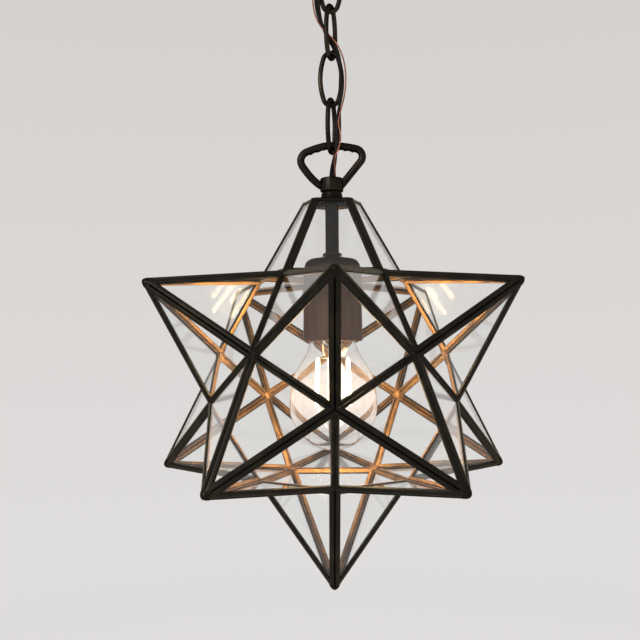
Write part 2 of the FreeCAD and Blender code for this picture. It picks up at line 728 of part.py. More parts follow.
def crown_levels(frame):
    """Slope distances of the rim came's lower edge and of the rim on the middle of the glass."""
    rim = (number(crown_height) - mm("came_depth") / 2.0 * frame.out.z - frame.base) / frame.up.z
    return rim - mm("crown_strip"), rim


def crown_strip(frame):
    """Short came along the rim of the cut-off top point, between two ridge cames."""
    depth = mm("came_depth") / 2.0
    low, high = crown_levels(frame)
    ridges = frame.edge_lines(mm("valley_strip"), mm("ridge_strip"))[1:]
    layers = []
    for w in (-depth, depth):
        lines = [(Vector(0, v, 0), Vector(1, 0, 0)) for v in (low, high)]
        flat = [crossing(lines[0], ridges[1]), crossing(lines[0], ridges[0]),
                crossing(lines[1], ridges[0]), crossing(lines[1], ridges[1])]
        layers.append([frame.spot(p.x, p.y, w) for p in flat])
    return hexahedron(layers[0], layers[1])


def crown_clearance(frame):
    """Space of the rim came, which the glass stops under."""
    low, high = crown_levels(frame)
    wide = frame.half
    flat = [Vector(-wide, low, 0), Vector(wide, low, 0),
            Vector(wide, 2 * high, 0), Vector(-wide, 2 * high, 0)]
    return frame.plate(flat, mm("came_depth") * 2.0)


def point_placement(lean, azimuth, spin):
    """Where a point's own frame lies on the star."""
    rotation = Rotation(UP, azimuth) * Rotation(ACROSS, lean) * Rotation(UP, spin)
    return Placement(CENTRE, rotation)


def placed(shape, placement):
    """A copy moved onto the star."""
    copy = shape.copy()
    copy.Placement = placement.multiply(copy.Placement)
    return copy


def star(frame):
    """Cames per point, panes per ring of points, and the solder tips."""
    glass = {"top_glass": [], "upper_glass": [], "lower_glass": [], "bottom_glass": [],
             "hinged_glass": []}
    tips = []
    for name, lean, azimuth, spin in STAR_POINTS:
        cames, panes, tip = point_shapes(frame, name == "hinged", name == "top")
        where = point_placement(lean, azimuth, spin)
        shaped(name + "_cames", Part.makeCompound([placed(came, where) for came in cames]))
        ring = name if name in ("top", "bottom", "hinged") else name.split("_")[0]
        glass[ring + "_glass"] += [placed(pane, where) for pane in panes]
        if name == "hinged":
            shaped("hinged_tip", placed(tip, where))
        elif tip is not None:
            tips.append(placed(tip, where))
    shaped("solder_tips", Part.makeCompound(tips))
    for label, panes in glass.items():
        shaped(label, Part.makeCompound(panes))


def cap_plate(frame):
    """Five-sided plate that closes the top point and carries the whole star."""
    thick, edge = mm("plate_thick"), mm("plate_edge")
    rad = ridge_radius(frame, number(crown_height)) - mm("plate_inset")
    low = Part.makeLoft([pentagon(rad, 0), pentagon(rad, thick - edge)], True, True)
    high = Part.makeLoft([pentagon(rad, thick - edge), pentagon(rad - edge, thick)], True, True)
    hole = Part.makeCylinder(mm("tube_rad") + mm("tube_fit"), thick)
    plate = shaped("cap_plate", low.fuse(high).cut(hole).removeSplitter())
    plate.Placement = Placement(Vector(0, 0, number(crown)), Rotation(UP, 90))


# ---------------------------------------------------------------------------------------------
# Hinge of the point that opens
# ---------------------------------------------------------------------------------------------
def hinge_frame(frame):
    """Placement of the hinge: X away from the star's middle, Z along the edge, on the axis."""
    name, lean, azimuth, spin = STAR_POINTS[1 + 5 + LOWER_NAMES.index("hinged")]
    where = point_placement(lean, azimuth, spin)
    corners = [where.multVec(turned_spot(frame, FIFTH * k)) for k in range(5)]
    target = math.radians(azimuth + HALF_FIFTH)
    beside = Vector(-math.sin(target), math.cos(target), 0)
    first, second = sorted(corners, key=lambda spot: abs((spot - CENTRE).dot(beside)))[:2]
    if first.z < second.z:
        first, second = second, first
    middle = (first + second) * 0.5
    along = first - second
    along.normalize()
    out = middle - CENTRE
    reach = out.Length
    out.normalize()
    face_distance = frame.out.dot(frame.foot)
    valley_line = reach * (1.0 + mm("came_depth") / 2.0 / face_distance)
    axis_spot = CENTRE + out * (valley_line + mm("knuckle_rise"))
    return axis_spot, out, along


def turned_spot(frame, azimuth):
    """A foot corner of the point in its own frame."""
    corner = frame.half / math.sin(math.radians(HALF_FIFTH))
    angle = math.radians(azimuth)
    return Vector(corner * math.cos(angle), corner * math.sin(angle), frame.base)


def leaf(frame, sign, start, spot, out, along, bore):
    """A hinge leaf on the came beside the valley, with its knuckle round the axis."""
    across = along.cross(out) * sign
    half_valley = math.pi / 2.0 - math.atan(frame.valley_cot)
    face_along = across * math.sin(half_valley) + out * math.cos(half_valley)
    face_out = out * math.sin(half_valley) - across * math.cos(half_valley)
    long, thick = mm("leaf_long"), mm("leaf_thick")
    rise = mm("knuckle_rise")
    valley_spot = spot - out * rise + along * start
    foot = rise * math.cos(half_valley)
    near = valley_spot + face_along * foot
    flat = [near, near + face_along * mm("leaf_wide"),
            near + face_along * mm("leaf_wide") + face_out * thick, near + face_out * thick]
    plate = Part.Face(Part.makePolygon(flat + flat[:1])).extrude(along * long)
    web = [near, near + face_along * mm("knuckle_rad") * 0.9,
           near + face_along * mm("knuckle_rad") * 0.9 + face_out * rise * 0.6,
           near + face_out * rise * 0.6]
    arm = Part.Face(Part.makePolygon(web + web[:1])).extrude(along * long)
    knuckle = Part.makeCylinder(mm("knuckle_rad"), long, spot + along * start, along)
    hole = Part.makeCylinder(bore, long, spot + along * start, along)
    return plate.fuse(arm).fuse(knuckle).removeSplitter().cut(hole)


def hinge(frame):
    """Three-knuckle hinge: two leaves on the star, one on the point that opens, and a pin."""
    spot, out, along = hinge_frame(frame)
    long, gap = mm("leaf_long"), mm("leaf_gap")
    door_side = door_sign(frame, spot, out, along)
    moving = leaf(frame, door_side, -long / 2.0, spot, out, along, mm("pin_rad") + mm("pin_fit"))
    fixed = [leaf(frame, -door_side, start, spot, out, along, mm("pin_rad"))
             for start in (-1.5 * long - gap, 0.5 * long + gap)]
    shaped("hinge_moving_leaf", moving)
    shaped("hinge_fixed_leaves", Part.makeCompound(fixed))
    pin_long = 3.0 * long + 2.0 * gap
    shaped("hinge_pin", Part.makeCylinder(mm("pin_rad"), pin_long,
                                          spot - along * (pin_long / 2.0), along))
    turn_axis = along * -door_side
    print("hinge axis through", [round(v, 4) for v in spot])
    print("hinge direction", [round(v, 6) for v in turn_axis])


def door_sign(frame, spot, out, along):
    """On which side of the hinge the opening point lies: 1 along (along x out), else -1."""
    name, lean, azimuth, spin = STAR_POINTS[1 + 5 + LOWER_NAMES.index("hinged")]
    tip = point_placement(lean, azimuth, spin).multVec(Vector(0, 0, mm("tip_radius")))
    return 1.0 if (tip - spot).dot(along.cross(out)) > 0 else -1.0


# ---------------------------------------------------------------------------------------------
# Socket and lamp, with heights from the star centre
# ---------------------------------------------------------------------------------------------
def socket():
    """Cup with a rounded shoulder, its washer, insulating core, screw shell and contact."""
    wall, top, low = of("cup_wall"), of("cup_top"), of("cup_top") - of("cup_high")
    shoulder, top_rad, low_rad = of("cup_shoulder"), of("cup_top_rad"), of("cup_low_rad")
    hole = of("tube_rad") + of("tube_fit")
    bend = shoulder * (1.0 - math.sqrt(0.5))
    inner_bend = bend + wall * math.sqrt(0.5)
    revolved("socket_cup", [
        (hole, top),
        (hole, top - wall),
        (top_rad - shoulder, top - wall),
        (top_rad - wall, top - shoulder, (top_rad - inner_bend, top - inner_bend)),
        (low_rad - wall, low),
        (low_rad, low),
        (top_rad, top - shoulder),
        (top_rad - shoulder, top, (top_rad - bend, top - bend)),
    ], star_centre)
    rise = of("washer_high")
    revolved("socket_washer", [
        (hole, top + rise),
        (hole, top),
        (of("washer_rad"), top),
        (of("washer_rad") - of("washer_edge"), top + rise),
    ], star_centre)
    shell_top = of("bulb_neck_at") + of("base_high") + of("contact_high") + of("shell_play")
    shell_rad = of("base_rad") + of("shell_play")
    shell_low = of("bulb_neck_at") + of("shell_rim")
    core_rad = top_rad - wall - of("core_fit")
    core_top = top - wall - of("nut_high") - of("core_seat")
    revolved("socket_core", [
        (of("core_hole"), core_top),
        (of("core_hole"), shell_top + of("shell_wall")),
        (shell_rad + of("shell_wall"), shell_top + of("shell_wall")),
        (shell_rad + of("shell_wall"), shell_low),
        (core_rad, shell_low),
        (core_rad, core_top),
    ], star_centre)
    revolved("screw_shell", [
        (of("shell_hole"), shell_top + of("shell_wall")),
        (of("shell_hole"), shell_top),
        (shell_rad, shell_top),
        (shell_rad, shell_low),
        (shell_rad + of("shell_wall"), shell_low),
        (shell_rad + of("shell_wall"), shell_top + of("shell_wall")),
    ], star_centre)


def round_nose(rad, wide_at, low):
    """A point of the arc about the axis from the lowest point to the widest one."""
    rise = wide_at - low
    ball = (rad * rad + rise * rise) / (rise * 2.0)
    return (ball * math.sqrt(0.5), low + ball * (1.0 - math.sqrt(0.5)))


def lamp():
    """Glass bulb, screw base with its insulator and contact, inner stem and light strips."""
    rad, wide_at, low = of("bulb_rad"), of("bulb_wide_at"), of("bulb_low")
    neck, neck_at, wall = of("bulb_neck_rad"), of("bulb_neck_at"), of("bulb_wall")
    belly = round_nose(rad, wide_at, low)
    inner_belly = round_nose(rad - wall, wide_at, low + wall)
    base, fold_at = of("base_rad"), neck_at - of("bulb_fold")
    waist = (neck + (rad - neck) * 0.32, wide_at + (neck_at - wide_at) * 0.62)
    slope = (rad * 0.955, wide_at + (waist[1] - wide_at) * 0.36)
    nape = (neck + (waist[0] - neck) * 0.405, waist[1] + (fold_at - waist[1]) * 0.46)
    revolved("bulb_glass", [
        (0.0, low),
        (rad, wide_at, belly),
        (waist[0], waist[1], slope),
        (neck, fold_at, nape),
        (base, neck_at),
        (base - wall, neck_at),
        (neck - wall, fold_at),
        (waist[0] - wall, waist[1], (nape[0] - wall, nape[1])),
        (rad - wall, wide_at, (slope[0] - wall, slope[1])),
        (0.0, low + wall, inner_belly),
    ], star_centre)
    top = neck_at + of("base_high")
    end, sheet_wall = of("base_end"), of("shell_wall")
    shoulder = top - of("base_shoulder")
    revolved("lamp_base", [
        (end, top),
        (end, top - sheet_wall),
        (base - sheet_wall, shoulder),
        (base - sheet_wall, neck_at),
        (base, neck_at),
        (base, shoulder),
    ], star_centre)
    contact, rise = of("contact_rad"), of("insulator_rise")
    revolved("lamp_insulator", [
        (contact, top + rise),
        (contact, top - sheet_wall),
        (end, top - sheet_wall),
        (end, top),
        (of("insulator_round"), top + rise),
    ], star_centre)
    revolved("lamp_contact", [
        (0.0, top + of("contact_high")),
        (0.0, top - sheet_wall),
        (contact, top - sheet_wall),
        (contact, top + rise),
        (of("contact_flat"), top + of("contact_high")),
    ], star_centre)
    foot_rad = base - wall - of("stem_fit")
    foot = neck_at - of("stem_skirt")
    revolved("lamp_stem", [
        (0.0, neck_at),
        (0.0, of("stem_tip_at")),
        (of("stem_rad"), of("stem_tip_at")),
        (of("stem_rad"), neck_at - of("stem_flare")),
        (foot_rad, foot),
        (foot_rad, neck_at),
    ], star_centre)


def light_strips():
    """Four straight light strips, leaning out from a small hub on the glass stem."""
    strips = []
    for k in range(4):
        strip = Part.makeCylinder(mm("filament_rad"), mm("filament_long"))
        strip.rotate(Vector(0, 0, 0), ACROSS, -mm("filament_lean"))
        strip.translate(Vector(mm("filament_ring"), 0, mm("filament_low")))
        strips.append(strip_side(strip, k))
    shaped("light_strips", Part.makeCompound(strips))


def strip_side(shape, which):
    """One of the four sides of the lamp, on the star."""
    side = turned(shape, 90.0 * which + mm("filament_turn"))
    side.translate(CENTRE)
    return side


def strip_holder():
    """Wires that carry the light strips from the glass stem."""
    low = mm("filament_low") - mm("arm_drop")
    lean = math.radians(mm("filament_lean"))
    high = (mm("filament_low") + mm("filament_long") * math.cos(lean)
            + mm("filament_rad") * math.sin(lean) + mm("arm_rad"))
    reach = mm("filament_ring") - mm("filament_long") * math.sin(lean)
    outwards = Vector(1, 0, 0)
    spine = Part.makeCylinder(mm("spine_rad"), mm("stem_tip_at") - low, CENTRE + UP * low)
    low_arm = Part.makeCylinder(mm("arm_rad"), mm("filament_ring"), UP * low, outwards)
    fused = spine.multiFuse([strip_side(low_arm, k) for k in range(4)]).removeSplitter()
    high_arm = Part.makeCylinder(mm("arm_rad"), reach - mm("stem_rad") + mm("arm_bite"),
                                 UP * high + outwards * mm("stem_rad"), outwards)
    high_arms = [strip_side(high_arm, k) for k in range(4)]
    shaped("strip_wires", Part.makeCompound([fused] + high_arms))


# ---------------------------------------------------------------------------------------------
# Lamp flex and earth wire
# ---------------------------------------------------------------------------------------------
def flex_points():
    """Points of the flex's route, with its straight run down to the socket."""
    points = [Vector(x, y, number(star_hub) + z) for x, y, z, side in FLEX_ROUTE]
    end = number(star_centre) + mm("cup_top") - mm("flex_end")
    return points + [Vector(points[-1].x, points[-1].y, end)]


def earth_points():
    """Points of the earth wire's route, square to the flex on the side that the route names."""
    flex = flex_points()
    reach = mm("flex_rad") + mm("earth_rad") + mm("wire_play")
    sides = [math.radians(side) for x, y, z, side in FLEX_ROUTE]
    points = []
    for index, side in enumerate(sides + sides[-1:]):
        along = flex[min(index + 1, len(flex) - 1)] - flex[max(index - 1, 0)]
        along.normalize()
        step = Vector(math.cos(side), math.sin(side), 0)
        step = step - along * step.dot(along)
        step.normalize()
        points.append(flex[index] + step * reach)
    return points


def rounded(points, label, diameter):
    """Edges of a route: straight runs joined by tangent arcs as large as the runs allow."""
    edges = []
    start = points[0]
    radii = []
    for before, here, after in zip(points, points[1:], points[2:]):
        into = here - before
        away = after - here
        turn = into.getAngle(away)
        room = 0.45 * min(into.Length, away.Length)
        radius = room / math.tan(turn / 2.0)
        radii.append(radius / diameter)
        into.normalize()
        away.normalize()
        first = here - into * room
        last = here + away * room
        towards = away - into
        towards.normalize()
        middle = here + towards * (radius / math.cos(turn / 2.0) - radius)
        edges.append(Part.LineSegment(start, first).toShape())
        edges.append(Part.Arc(first, middle, last).toShape())
        start = last
    edges.append(Part.LineSegment(start, points[-1]).toShape())
    print(label, "arc radii in diameters:", " ".join("%.1f" % r for r in radii))
    return edges


def lengths(edges):
    """The edges in five groups, cut at the middle of the runs that the cuts name."""
    groups = [[]]
    for index, edge in enumerate(edges):
        run, straight = divmod(index, 2)
        if straight == 0 and run in FLEX_CUTS:
            ends = [vertex.Point for vertex in edge.Vertexes]
            cut = (ends[0] + ends[1]) * 0.5
            groups[-1].append(Part.LineSegment(ends[0], cut).toShape())
            groups.append([Part.LineSegment(cut, ends[1]).toShape()])
        else:
            groups[-1].append(edge)
    return groups


def wiring():
    """Flex and earth wire in five lengths, one across each joint of the chain."""
    for label, points, radius in (("flex", flex_points(), mm("flex_rad")),
                                  ("earth", earth_points(), mm("earth_rad"))):
        groups = lengths(rounded(points, label, 2.0 * radius))
        for index, group in enumerate(groups, start=1):
            path = Part.Wire(group)
            solid = swept(path, radius)
            wanted = math.pi * radius ** 2 * path.Length
            if abs(solid.Volume - wanted) > 0.02 * wanted:
                raise ValueError("%s volume %.1f, not %.1f" % (label, solid.Volume, wanted))
            shaped("%s_length_%d" % (label, index), solid)


def lead(label, radius, across):
    """Straight start of a wire inside the ceiling tube."""
    low = star_hub + of("lead_gap") + FLEX_ROUTE[0][2]
    rod = document.addObject("Part::Cylinder", label + "_rod")
    bind(rod, "Radius", radius)
    bind(rod, "Height", -(of("lead_end") + low))
    rod.Label = label
    rod.setExpression(".Placement.Base.x", across.text)
    rod.setExpression(".Placement.Base.z", low.text)
    parts.append(rod)


# ---------------------------------------------------------------------------------------------
# Assembly
# ---------------------------------------------------------------------------------------------
canopy()
strap()
tube("ceiling_tube", ceiling_hub - of("hub_high") / 2.0, -of("tube_end"))
drilled_prism("ceiling_nut", of("nut_rad"), of("nut_high"), of("tube_rad") + of("tube_fit"),
              -(of("strap_thick") + of("nut_high")))
collar("ceiling_collar", -(of("canopy_high") + of("collar_high")))
loop("ceiling_loop", ceiling_hub, False, 90)

link_turns = (90 - mm("link_turn_low"), 0, 90 - mm("link_turn_high"), 0)
for count, turn in enumerate(link_turns, start=1):
    chain_link("chain_link_%d" % count, low_link + link_pitch * (count - 1.0), turn)

loop("star_loop", star_hub, True, 0)
collar("star_collar", crown + of("plate_thick"))
tube("stem_tube", star_centre + of("cup_top") - of("cup_wall") - of("nut_high"),
     star_hub + of("hub_high") / 2.0)
drilled_prism("crown_nut", of("nut_rad"), of("nut_high"), of("tube_rad") + of("tube_fit"),
              crown - of("nut_high"))
drilled_prism("socket_nut", of("nut_rad"), of("nut_high"), of("tube_rad") + of("tube_fit"),
              star_centre + of("cup_top") - of("cup_wall") - of("nut_high"))
pane_frame = PaneFrame()
star(pane_frame)
cap_plate(pane_frame)
hinge(pane_frame)
socket()
lamp()
light_strips()
strip_holder()
lead("flex_lead", of("flex_rad"), of("flex_side"))
lead("earth_lead", of("earth_rad"),
     of("flex_side") - of("flex_rad") - of("earth_rad") - of("wire_play"))
wiring()

document.recompute()
for item in document.Objects:
    if "Invalid" in item.State or "Error" in item.State:
        raise RuntimeError("%s failed: %s" % (item.Label, item.State))
os.makedirs("parts", exist_ok=True)
for part in parts:
    if part.Shape.isNull() or not part.Shape.isValid():
        raise RuntimeError("%s has no valid shape" % part.Label)
    part.Shape.exportStep("parts/%s.step" % part.Label)
print("star centre at height %.3f" % number(star_centre))
print("%d sub-parts written" % len(parts))
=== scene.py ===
"""Looks of the moravian star pendant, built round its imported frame.

Metres, +Z up. The origin is the middle of the canopy on the ceiling, and the front of the star
faces -Y.
"""

import logging
import math
import random
from dataclasses import dataclass, field
from enum import Enum
from itertools import combinations

import bmesh
import bpy
import numpy as np
from mathutils import Matrix, Vector


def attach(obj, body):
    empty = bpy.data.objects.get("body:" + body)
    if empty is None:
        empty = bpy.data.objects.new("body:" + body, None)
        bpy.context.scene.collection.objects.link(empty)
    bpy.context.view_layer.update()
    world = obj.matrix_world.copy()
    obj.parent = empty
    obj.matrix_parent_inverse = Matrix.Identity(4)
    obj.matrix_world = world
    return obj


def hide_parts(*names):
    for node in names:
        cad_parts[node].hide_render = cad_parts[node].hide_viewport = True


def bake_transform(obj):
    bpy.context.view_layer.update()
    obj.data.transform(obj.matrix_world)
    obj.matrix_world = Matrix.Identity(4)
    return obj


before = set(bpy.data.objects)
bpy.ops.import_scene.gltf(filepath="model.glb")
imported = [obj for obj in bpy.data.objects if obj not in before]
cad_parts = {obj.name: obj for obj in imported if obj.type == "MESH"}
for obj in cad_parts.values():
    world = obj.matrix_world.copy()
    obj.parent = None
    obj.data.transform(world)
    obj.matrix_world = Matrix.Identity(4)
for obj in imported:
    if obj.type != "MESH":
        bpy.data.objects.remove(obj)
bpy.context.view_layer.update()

STAR_CENTRE = Vector((0.0, 0.0, -0.3705))
RING_ANGLE = math.atan(2.0)
FACE_ANGLE = math.acos(math.sqrt((5.0 + 2.0 * math.sqrt(5.0)) / 15.0))
POINT_SIDES = 5
FIFTH = math.tau / POINT_SIDES
UPPER_POINTS = ("upper_front", "upper_right", "upper_right_back", "upper_left_back", "upper_left")
LOWER_POINTS = ("lower_left_front", "hinged", "lower_right", "lower_back", "lower_left")
GLASS_NODES = ("upper_glass", "lower_glass", "bottom_glass", "hinged_glass")
MM_PER_METRE = 1000.0
# share of an edge that a rounded corner may take up
CORNER_ROOM = 0.45
# a line that runs more along Y than this takes its first cross direction from X
NEAR_Y = 0.9

Span = tuple[float, float]
Spot = tuple[float, float, float]
Outline = list[Span]
Shape = tuple[list[Vector], list[tuple[int, ...]]]

log = logging.getLogger("pendant")


class Body(Enum):
    """The rigid bodies of the frame."""

    CEILING = "ceiling"
    LINK_4 = "link_4"
    LINK_3 = "link_3"
    LINK_2 = "link_2"
    LINK_1 = "link_1"
    STAR = "star"
    POINT = "hinged_point"
    LAMP = "lamp"


# ---------------------------------------------------------------------------------------------
# Shader graphs
# ---------------------------------------------------------------------------------------------
class Graph:
    """The nodes of a material, or of the sky, under construction."""

    def __init__(self, name: str, sky: bool = False) -> None:
        """Starts with no more than the output.

        Args:
            name: The name of the material or the sky.
            sky: Whether it is the sky.
        """
        self.owner = (bpy.data.worlds if sky else bpy.data.materials).new(name)
        self.owner.use_nodes = True
        self.tree = self.owner.node_tree
        self.tree.nodes.clear()
        self.output = self.add("OutputWorld" if sky else "OutputMaterial")

    def add(self, kind: str, **inputs: object) -> bpy.types.Node:
        """Adds a node.

        Args:
            kind: The node's type without its ShaderNode prefix.
            **inputs: Socket values or sockets to link, by socket name with _ for a space.

        Returns:
            The node.
        """
        node = self.tree.nodes.new("ShaderNode" + kind)
        for key, value in inputs.items():
            self.put(node, key.replace("_", " "), value)
        return node

    def put(self, node: bpy.types.Node, socket: str | int, value: object) -> None:
        """Sets an input of a node.

        Args:
            node: The node.
            socket: The input's name or number.
            value: The value, or the socket to link to it.
        """
        if isinstance(value, bpy.types.NodeSocket):
            self.tree.links.new(value, node.inputs[socket])
        else:
            node.inputs[socket].default_value = value

    def fill(self, node: bpy.types.Node, *values: object) -> bpy.types.Node:
        """Sets the first inputs of a node.

        Args:
            node: The node.
            *values: The values or sockets, in the order of the inputs.

        Returns:
            The node.
        """
        for index, value in enumerate(values):
            self.put(node, index, value)
        return node

    def math(self, operation: str, one: object, two: object = 0.0) -> bpy.types.NodeSocket:
        """A number worked out from two others.

        Args:
            operation: The kind of sum.
            one: The first number or socket.
            two: The second one.

        Returns:
            The result.
        """
        node = self.add("Math")
        node.operation = operation
        return self.fill(node, one, two).outputs[0]

    def height(self) -> bpy.types.NodeSocket:
        """Height in the row frame."""
        place = self.add("TexCoord").outputs["Object"]
        return self.add("SeparateXYZ", Vector=place).outputs["Z"]

    def seen(self) -> bpy.types.NodeSocket:
        """Whether a ray comes from the camera, straight or by way of glass or a mirror.

        Returns:
            One if it does, and zero if it only lights something.
        """
        rays = self.add("LightPath").outputs
        straight = self.math("MAXIMUM", rays["Is Camera Ray"], rays["Is Glossy Ray"])
        return self.math("MAXIMUM", straight, rays["Is Transmission Ray"])

    def noise(self, scale: float, detail: float,
              stretch: Spot = (1.0, 1.0, 1.0)) -> bpy.types.NodeSocket:
        """Noise in the piece's own coordinates.

        Args:
            scale: Size of the pattern, larger for finer.
            detail: Levels of finer noise in it.
            stretch: Scale along each axis, less than one to draw it out.

        Returns:
            The noise, from about 0 to 1.
        """
        place = self.add("TexCoord").outputs["Object"]
        mapping = self.add("Mapping", Vector=place, Scale=stretch)
        return self.add("TexNoise", Vector=mapping.outputs[0], Scale=scale,
                        Detail=detail).outputs["Fac"]

    def ramp(self, value: object, low: float, high: float, to_low: float = 0.0,
             to_high: float = 1.0, kind: str = "SMOOTHSTEP") -> bpy.types.NodeSocket:
        """A step from one level to another.

        Args:
            value: The number that it follows.
            low: Where it starts.
            high: Where it ends.
            to_low: Level before it.
            to_high: Level after it.
            kind: Its form.

        Returns:
            The level.
        """
        node = self.add("MapRange")
        node.interpolation_type = kind
        return self.fill(node, value, low, high, to_low, to_high).outputs[0]

    def blend(self, share: object, one: Spot, two: Spot) -> bpy.types.NodeSocket:
        """Two colours mixed.

        Args:
            share: How much there is of the second.
            one: The first colour.
            two: The second colour.

        Returns:
            The colour.
        """
        node = self.add("Mix")
        node.data_type = "RGBA"
        self.put(node, 0, share)
        self.put(node, 6, (*one, 1.0))
        self.put(node, 7, (*two, 1.0))
        return node.outputs[2]

    def bump(self, height: object, distance: float, strength: float) -> bpy.types.NodeSocket:
        """A relief, as a normal."""
        return self.add("Bump", Height=height, Distance=distance, Strength=strength).outputs[0]

    def mixed(self, share: object, one: bpy.types.Node, two: bpy.types.Node) -> bpy.types.Node:
        """Two surfaces mixed, with this share of the second."""
        return self.fill(self.add("MixShader"), share, one.outputs[0], two.outputs[0])

    def finish(self, shader: bpy.types.Node) -> bpy.types.ID:
        """Connects a surface, and returns the material or the sky."""
        self.tree.links.new(shader.outputs[0], self.output.inputs["Surface"])
        return self.owner


@dataclass(frozen=True)
class Surface:
    """An opaque finish: two tones in soft patches, under a fine grain.

    cloud is the scale of the noise that makes the patches, patches are its levels where they
    start and are full, and least and most are how much of the second tone shows there. The grain
    moves the roughness between the two values of rough, and has a relief in metres.
    """

    name: str
    tone: Spot
    second: Spot
    rough: Span
    sheen: Spot = (1.0, 1.0, 1.0)
    gloss: float = 0.5
    metallic: float = 0.9
    cloud: float = 55.0
    cloud_detail: float = 5.0
    patches: Span = (0.42, 0.78)
    least: float = 0.0
    most: float = 0.75
    grain: float = 420.0
    grain_detail: float = 3.0
    grain_span: Span = (0.3, 0.7)
    stretch: Spot = (1.0, 1.0, 1.0)
    relief: float = 0.00012
    strength: float = 0.35

    def share(self, graph: Graph) -> bpy.types.NodeSocket:
        """How much of the second tone shows."""
        cloud = graph.noise(self.cloud, self.cloud_detail)
        return graph.ramp(cloud, *self.patches, self.least, self.most)

    def build(self) -> bpy.types.Material:
        """Builds the finish.

        Returns:
            The material.
        """
        graph = Graph(self.name)
        grain = graph.noise(self.grain, self.grain_detail, self.stretch)
        rough = self.rough[0]
        if rough != self.rough[1]:
            rough = graph.ramp(grain, *self.grain_span, *self.rough)
        return graph.finish(graph.add(
            "BsdfPrincipled", Base_Color=graph.blend(self.share(graph), self.tone, self.second),
            Metallic=self.metallic, Roughness=rough, Specular_IOR_Level=self.gloss,
            Specular_Tint=(*self.sheen, 1.0),
            Normal=graph.bump(grain, self.relief, self.strength)))


@dataclass(frozen=True)
class Bronze(Surface):
    """Oil-rubbed bronze: near black, browner where it is rubbed."""

    name: str = "oil_rubbed_bronze"
    tone: Spot = (0.0165, 0.0145, 0.0115)
    second: Spot = (0.050, 0.034, 0.023)
    rough: Span = (0.26, 0.43)
    sheen: Spot = (0.42, 0.38, 0.33)
    gloss: float = 0.25


@dataclass(frozen=True)
class CamePatina(Surface):
    """Outside of a came: near-black patina, a little browner where it is rubbed."""

    name: str = "came_patina"
    tone: Spot = (0.0175, 0.0160, 0.0130)
    second: Spot = (0.042, 0.031, 0.022)
    rough: Span = (0.30, 0.44)
    sheen: Spot = (0.80, 0.73, 0.63)
    gloss: float = 0.25
    cloud: float = 60.0
    patches: Span = (0.45, 0.8)
    most: float = 0.7
    grain: float = 500.0
    relief: float = 0.0001


@dataclass(frozen=True)
class CameBrass(Surface):
    """Inside of a came: warm brass, browner in patches."""

    name: str = "came_brass"
    tone: Spot = (0.32, 0.160, 0.050)
    second: Spot = (0.125, 0.066, 0.025)
    rough: Span = (0.32, 0.48)
    gloss: float = 0.3
    metallic: float = 0.8
    cloud: float = 75.0
    patches: Span = (0.36, 0.66)
    most: float = 1.0
    grain: float = 520.0
    relief: float = 0.0002
    strength: float = 0.4


@dataclass(frozen=True)
class CupBronze(Surface):
    """Socket cup: dark bronze, with painted warm lamp light that turns it browner towards its
    mouth.
    """

    name: str = "socket_bronze"
    tone: Spot = (0.020, 0.016, 0.012)
    # the brown second tone is painted warm lamp light, not a colour of the bronze
    second: Spot = (0.115, 0.066, 0.042)
    rough: Span = (0.26, 0.42)
    sheen: Spot = (0.5, 0.42, 0.36)
    gloss: float = 0.25
    cloud: float = 45.0
    cloud_detail: float = 4.0
    patches: Span = (0.2, 0.6)
    least: float = 0.75
    most: float = 1.0
    grain: float = 260.0
    stretch: Spot = (1.0, 1.0, 0.05)
    relief: float = 0.00008
    strength: float = 0.4
    # heights over which the painted lamp light fades in on the cup, from none to full
    painted_light_span: Span = (-0.2850, -0.3050)

    def share(self, graph: Graph) -> bpy.types.NodeSocket:
        """How much brown shows: painted lamp light by the height, and a little by the patches."""
        return graph.math("MULTIPLY", graph.ramp(graph.height(), *self.painted_light_span),
                          super().share(graph))


@dataclass(frozen=True)
class Solder(Surface):
    """Soft solder under a dark patina: lumpy, with a dull sheen."""

    name: str = "solder_patina"
    tone: Spot = (0.015, 0.0135, 0.011)
    second: Spot = (0.045, 0.036, 0.027)
    rough: Span = (0.34, 0.34)
    sheen: Spot = (0.5, 0.46, 0.4)
    gloss: float = 0.25
    cloud: float = 240.0
    cloud_detail: float = 3.0
    patches: Span = (0.5, 0.8)
    most: float = 0.6
    grain: float = 240.0
    relief: float = 0.0006
    strength: float = 0.6


@dataclass(frozen=True)
class Metal(Surface):
    """Plain metal with fine scratches."""

    metallic: float = 1.0
    cloud: float = 90.0
    cloud_detail: float = 4.0
    patches: Span = (0.4, 0.75)
    most: float = 0.8
    grain: float = 600.0
    grain_detail: float = 2.0
    stretch: Spot = (1.0, 1.0, 0.08)
    relief: float = 0.00008
    strength: float = 0.4


@dataclass(frozen=True)
class Plastic(Surface):
    """Moulded or extruded plastic."""

    gloss: float = 0.35
    metallic: float = 0.0
    cloud: float = 300.0
    cloud_detail: float = 3.0
    patches: Span = (0.4, 0.8)
    most: float = 0.6
    grain: float = 300.0
    relief: float = 0.0001
    strength: float = 0.4


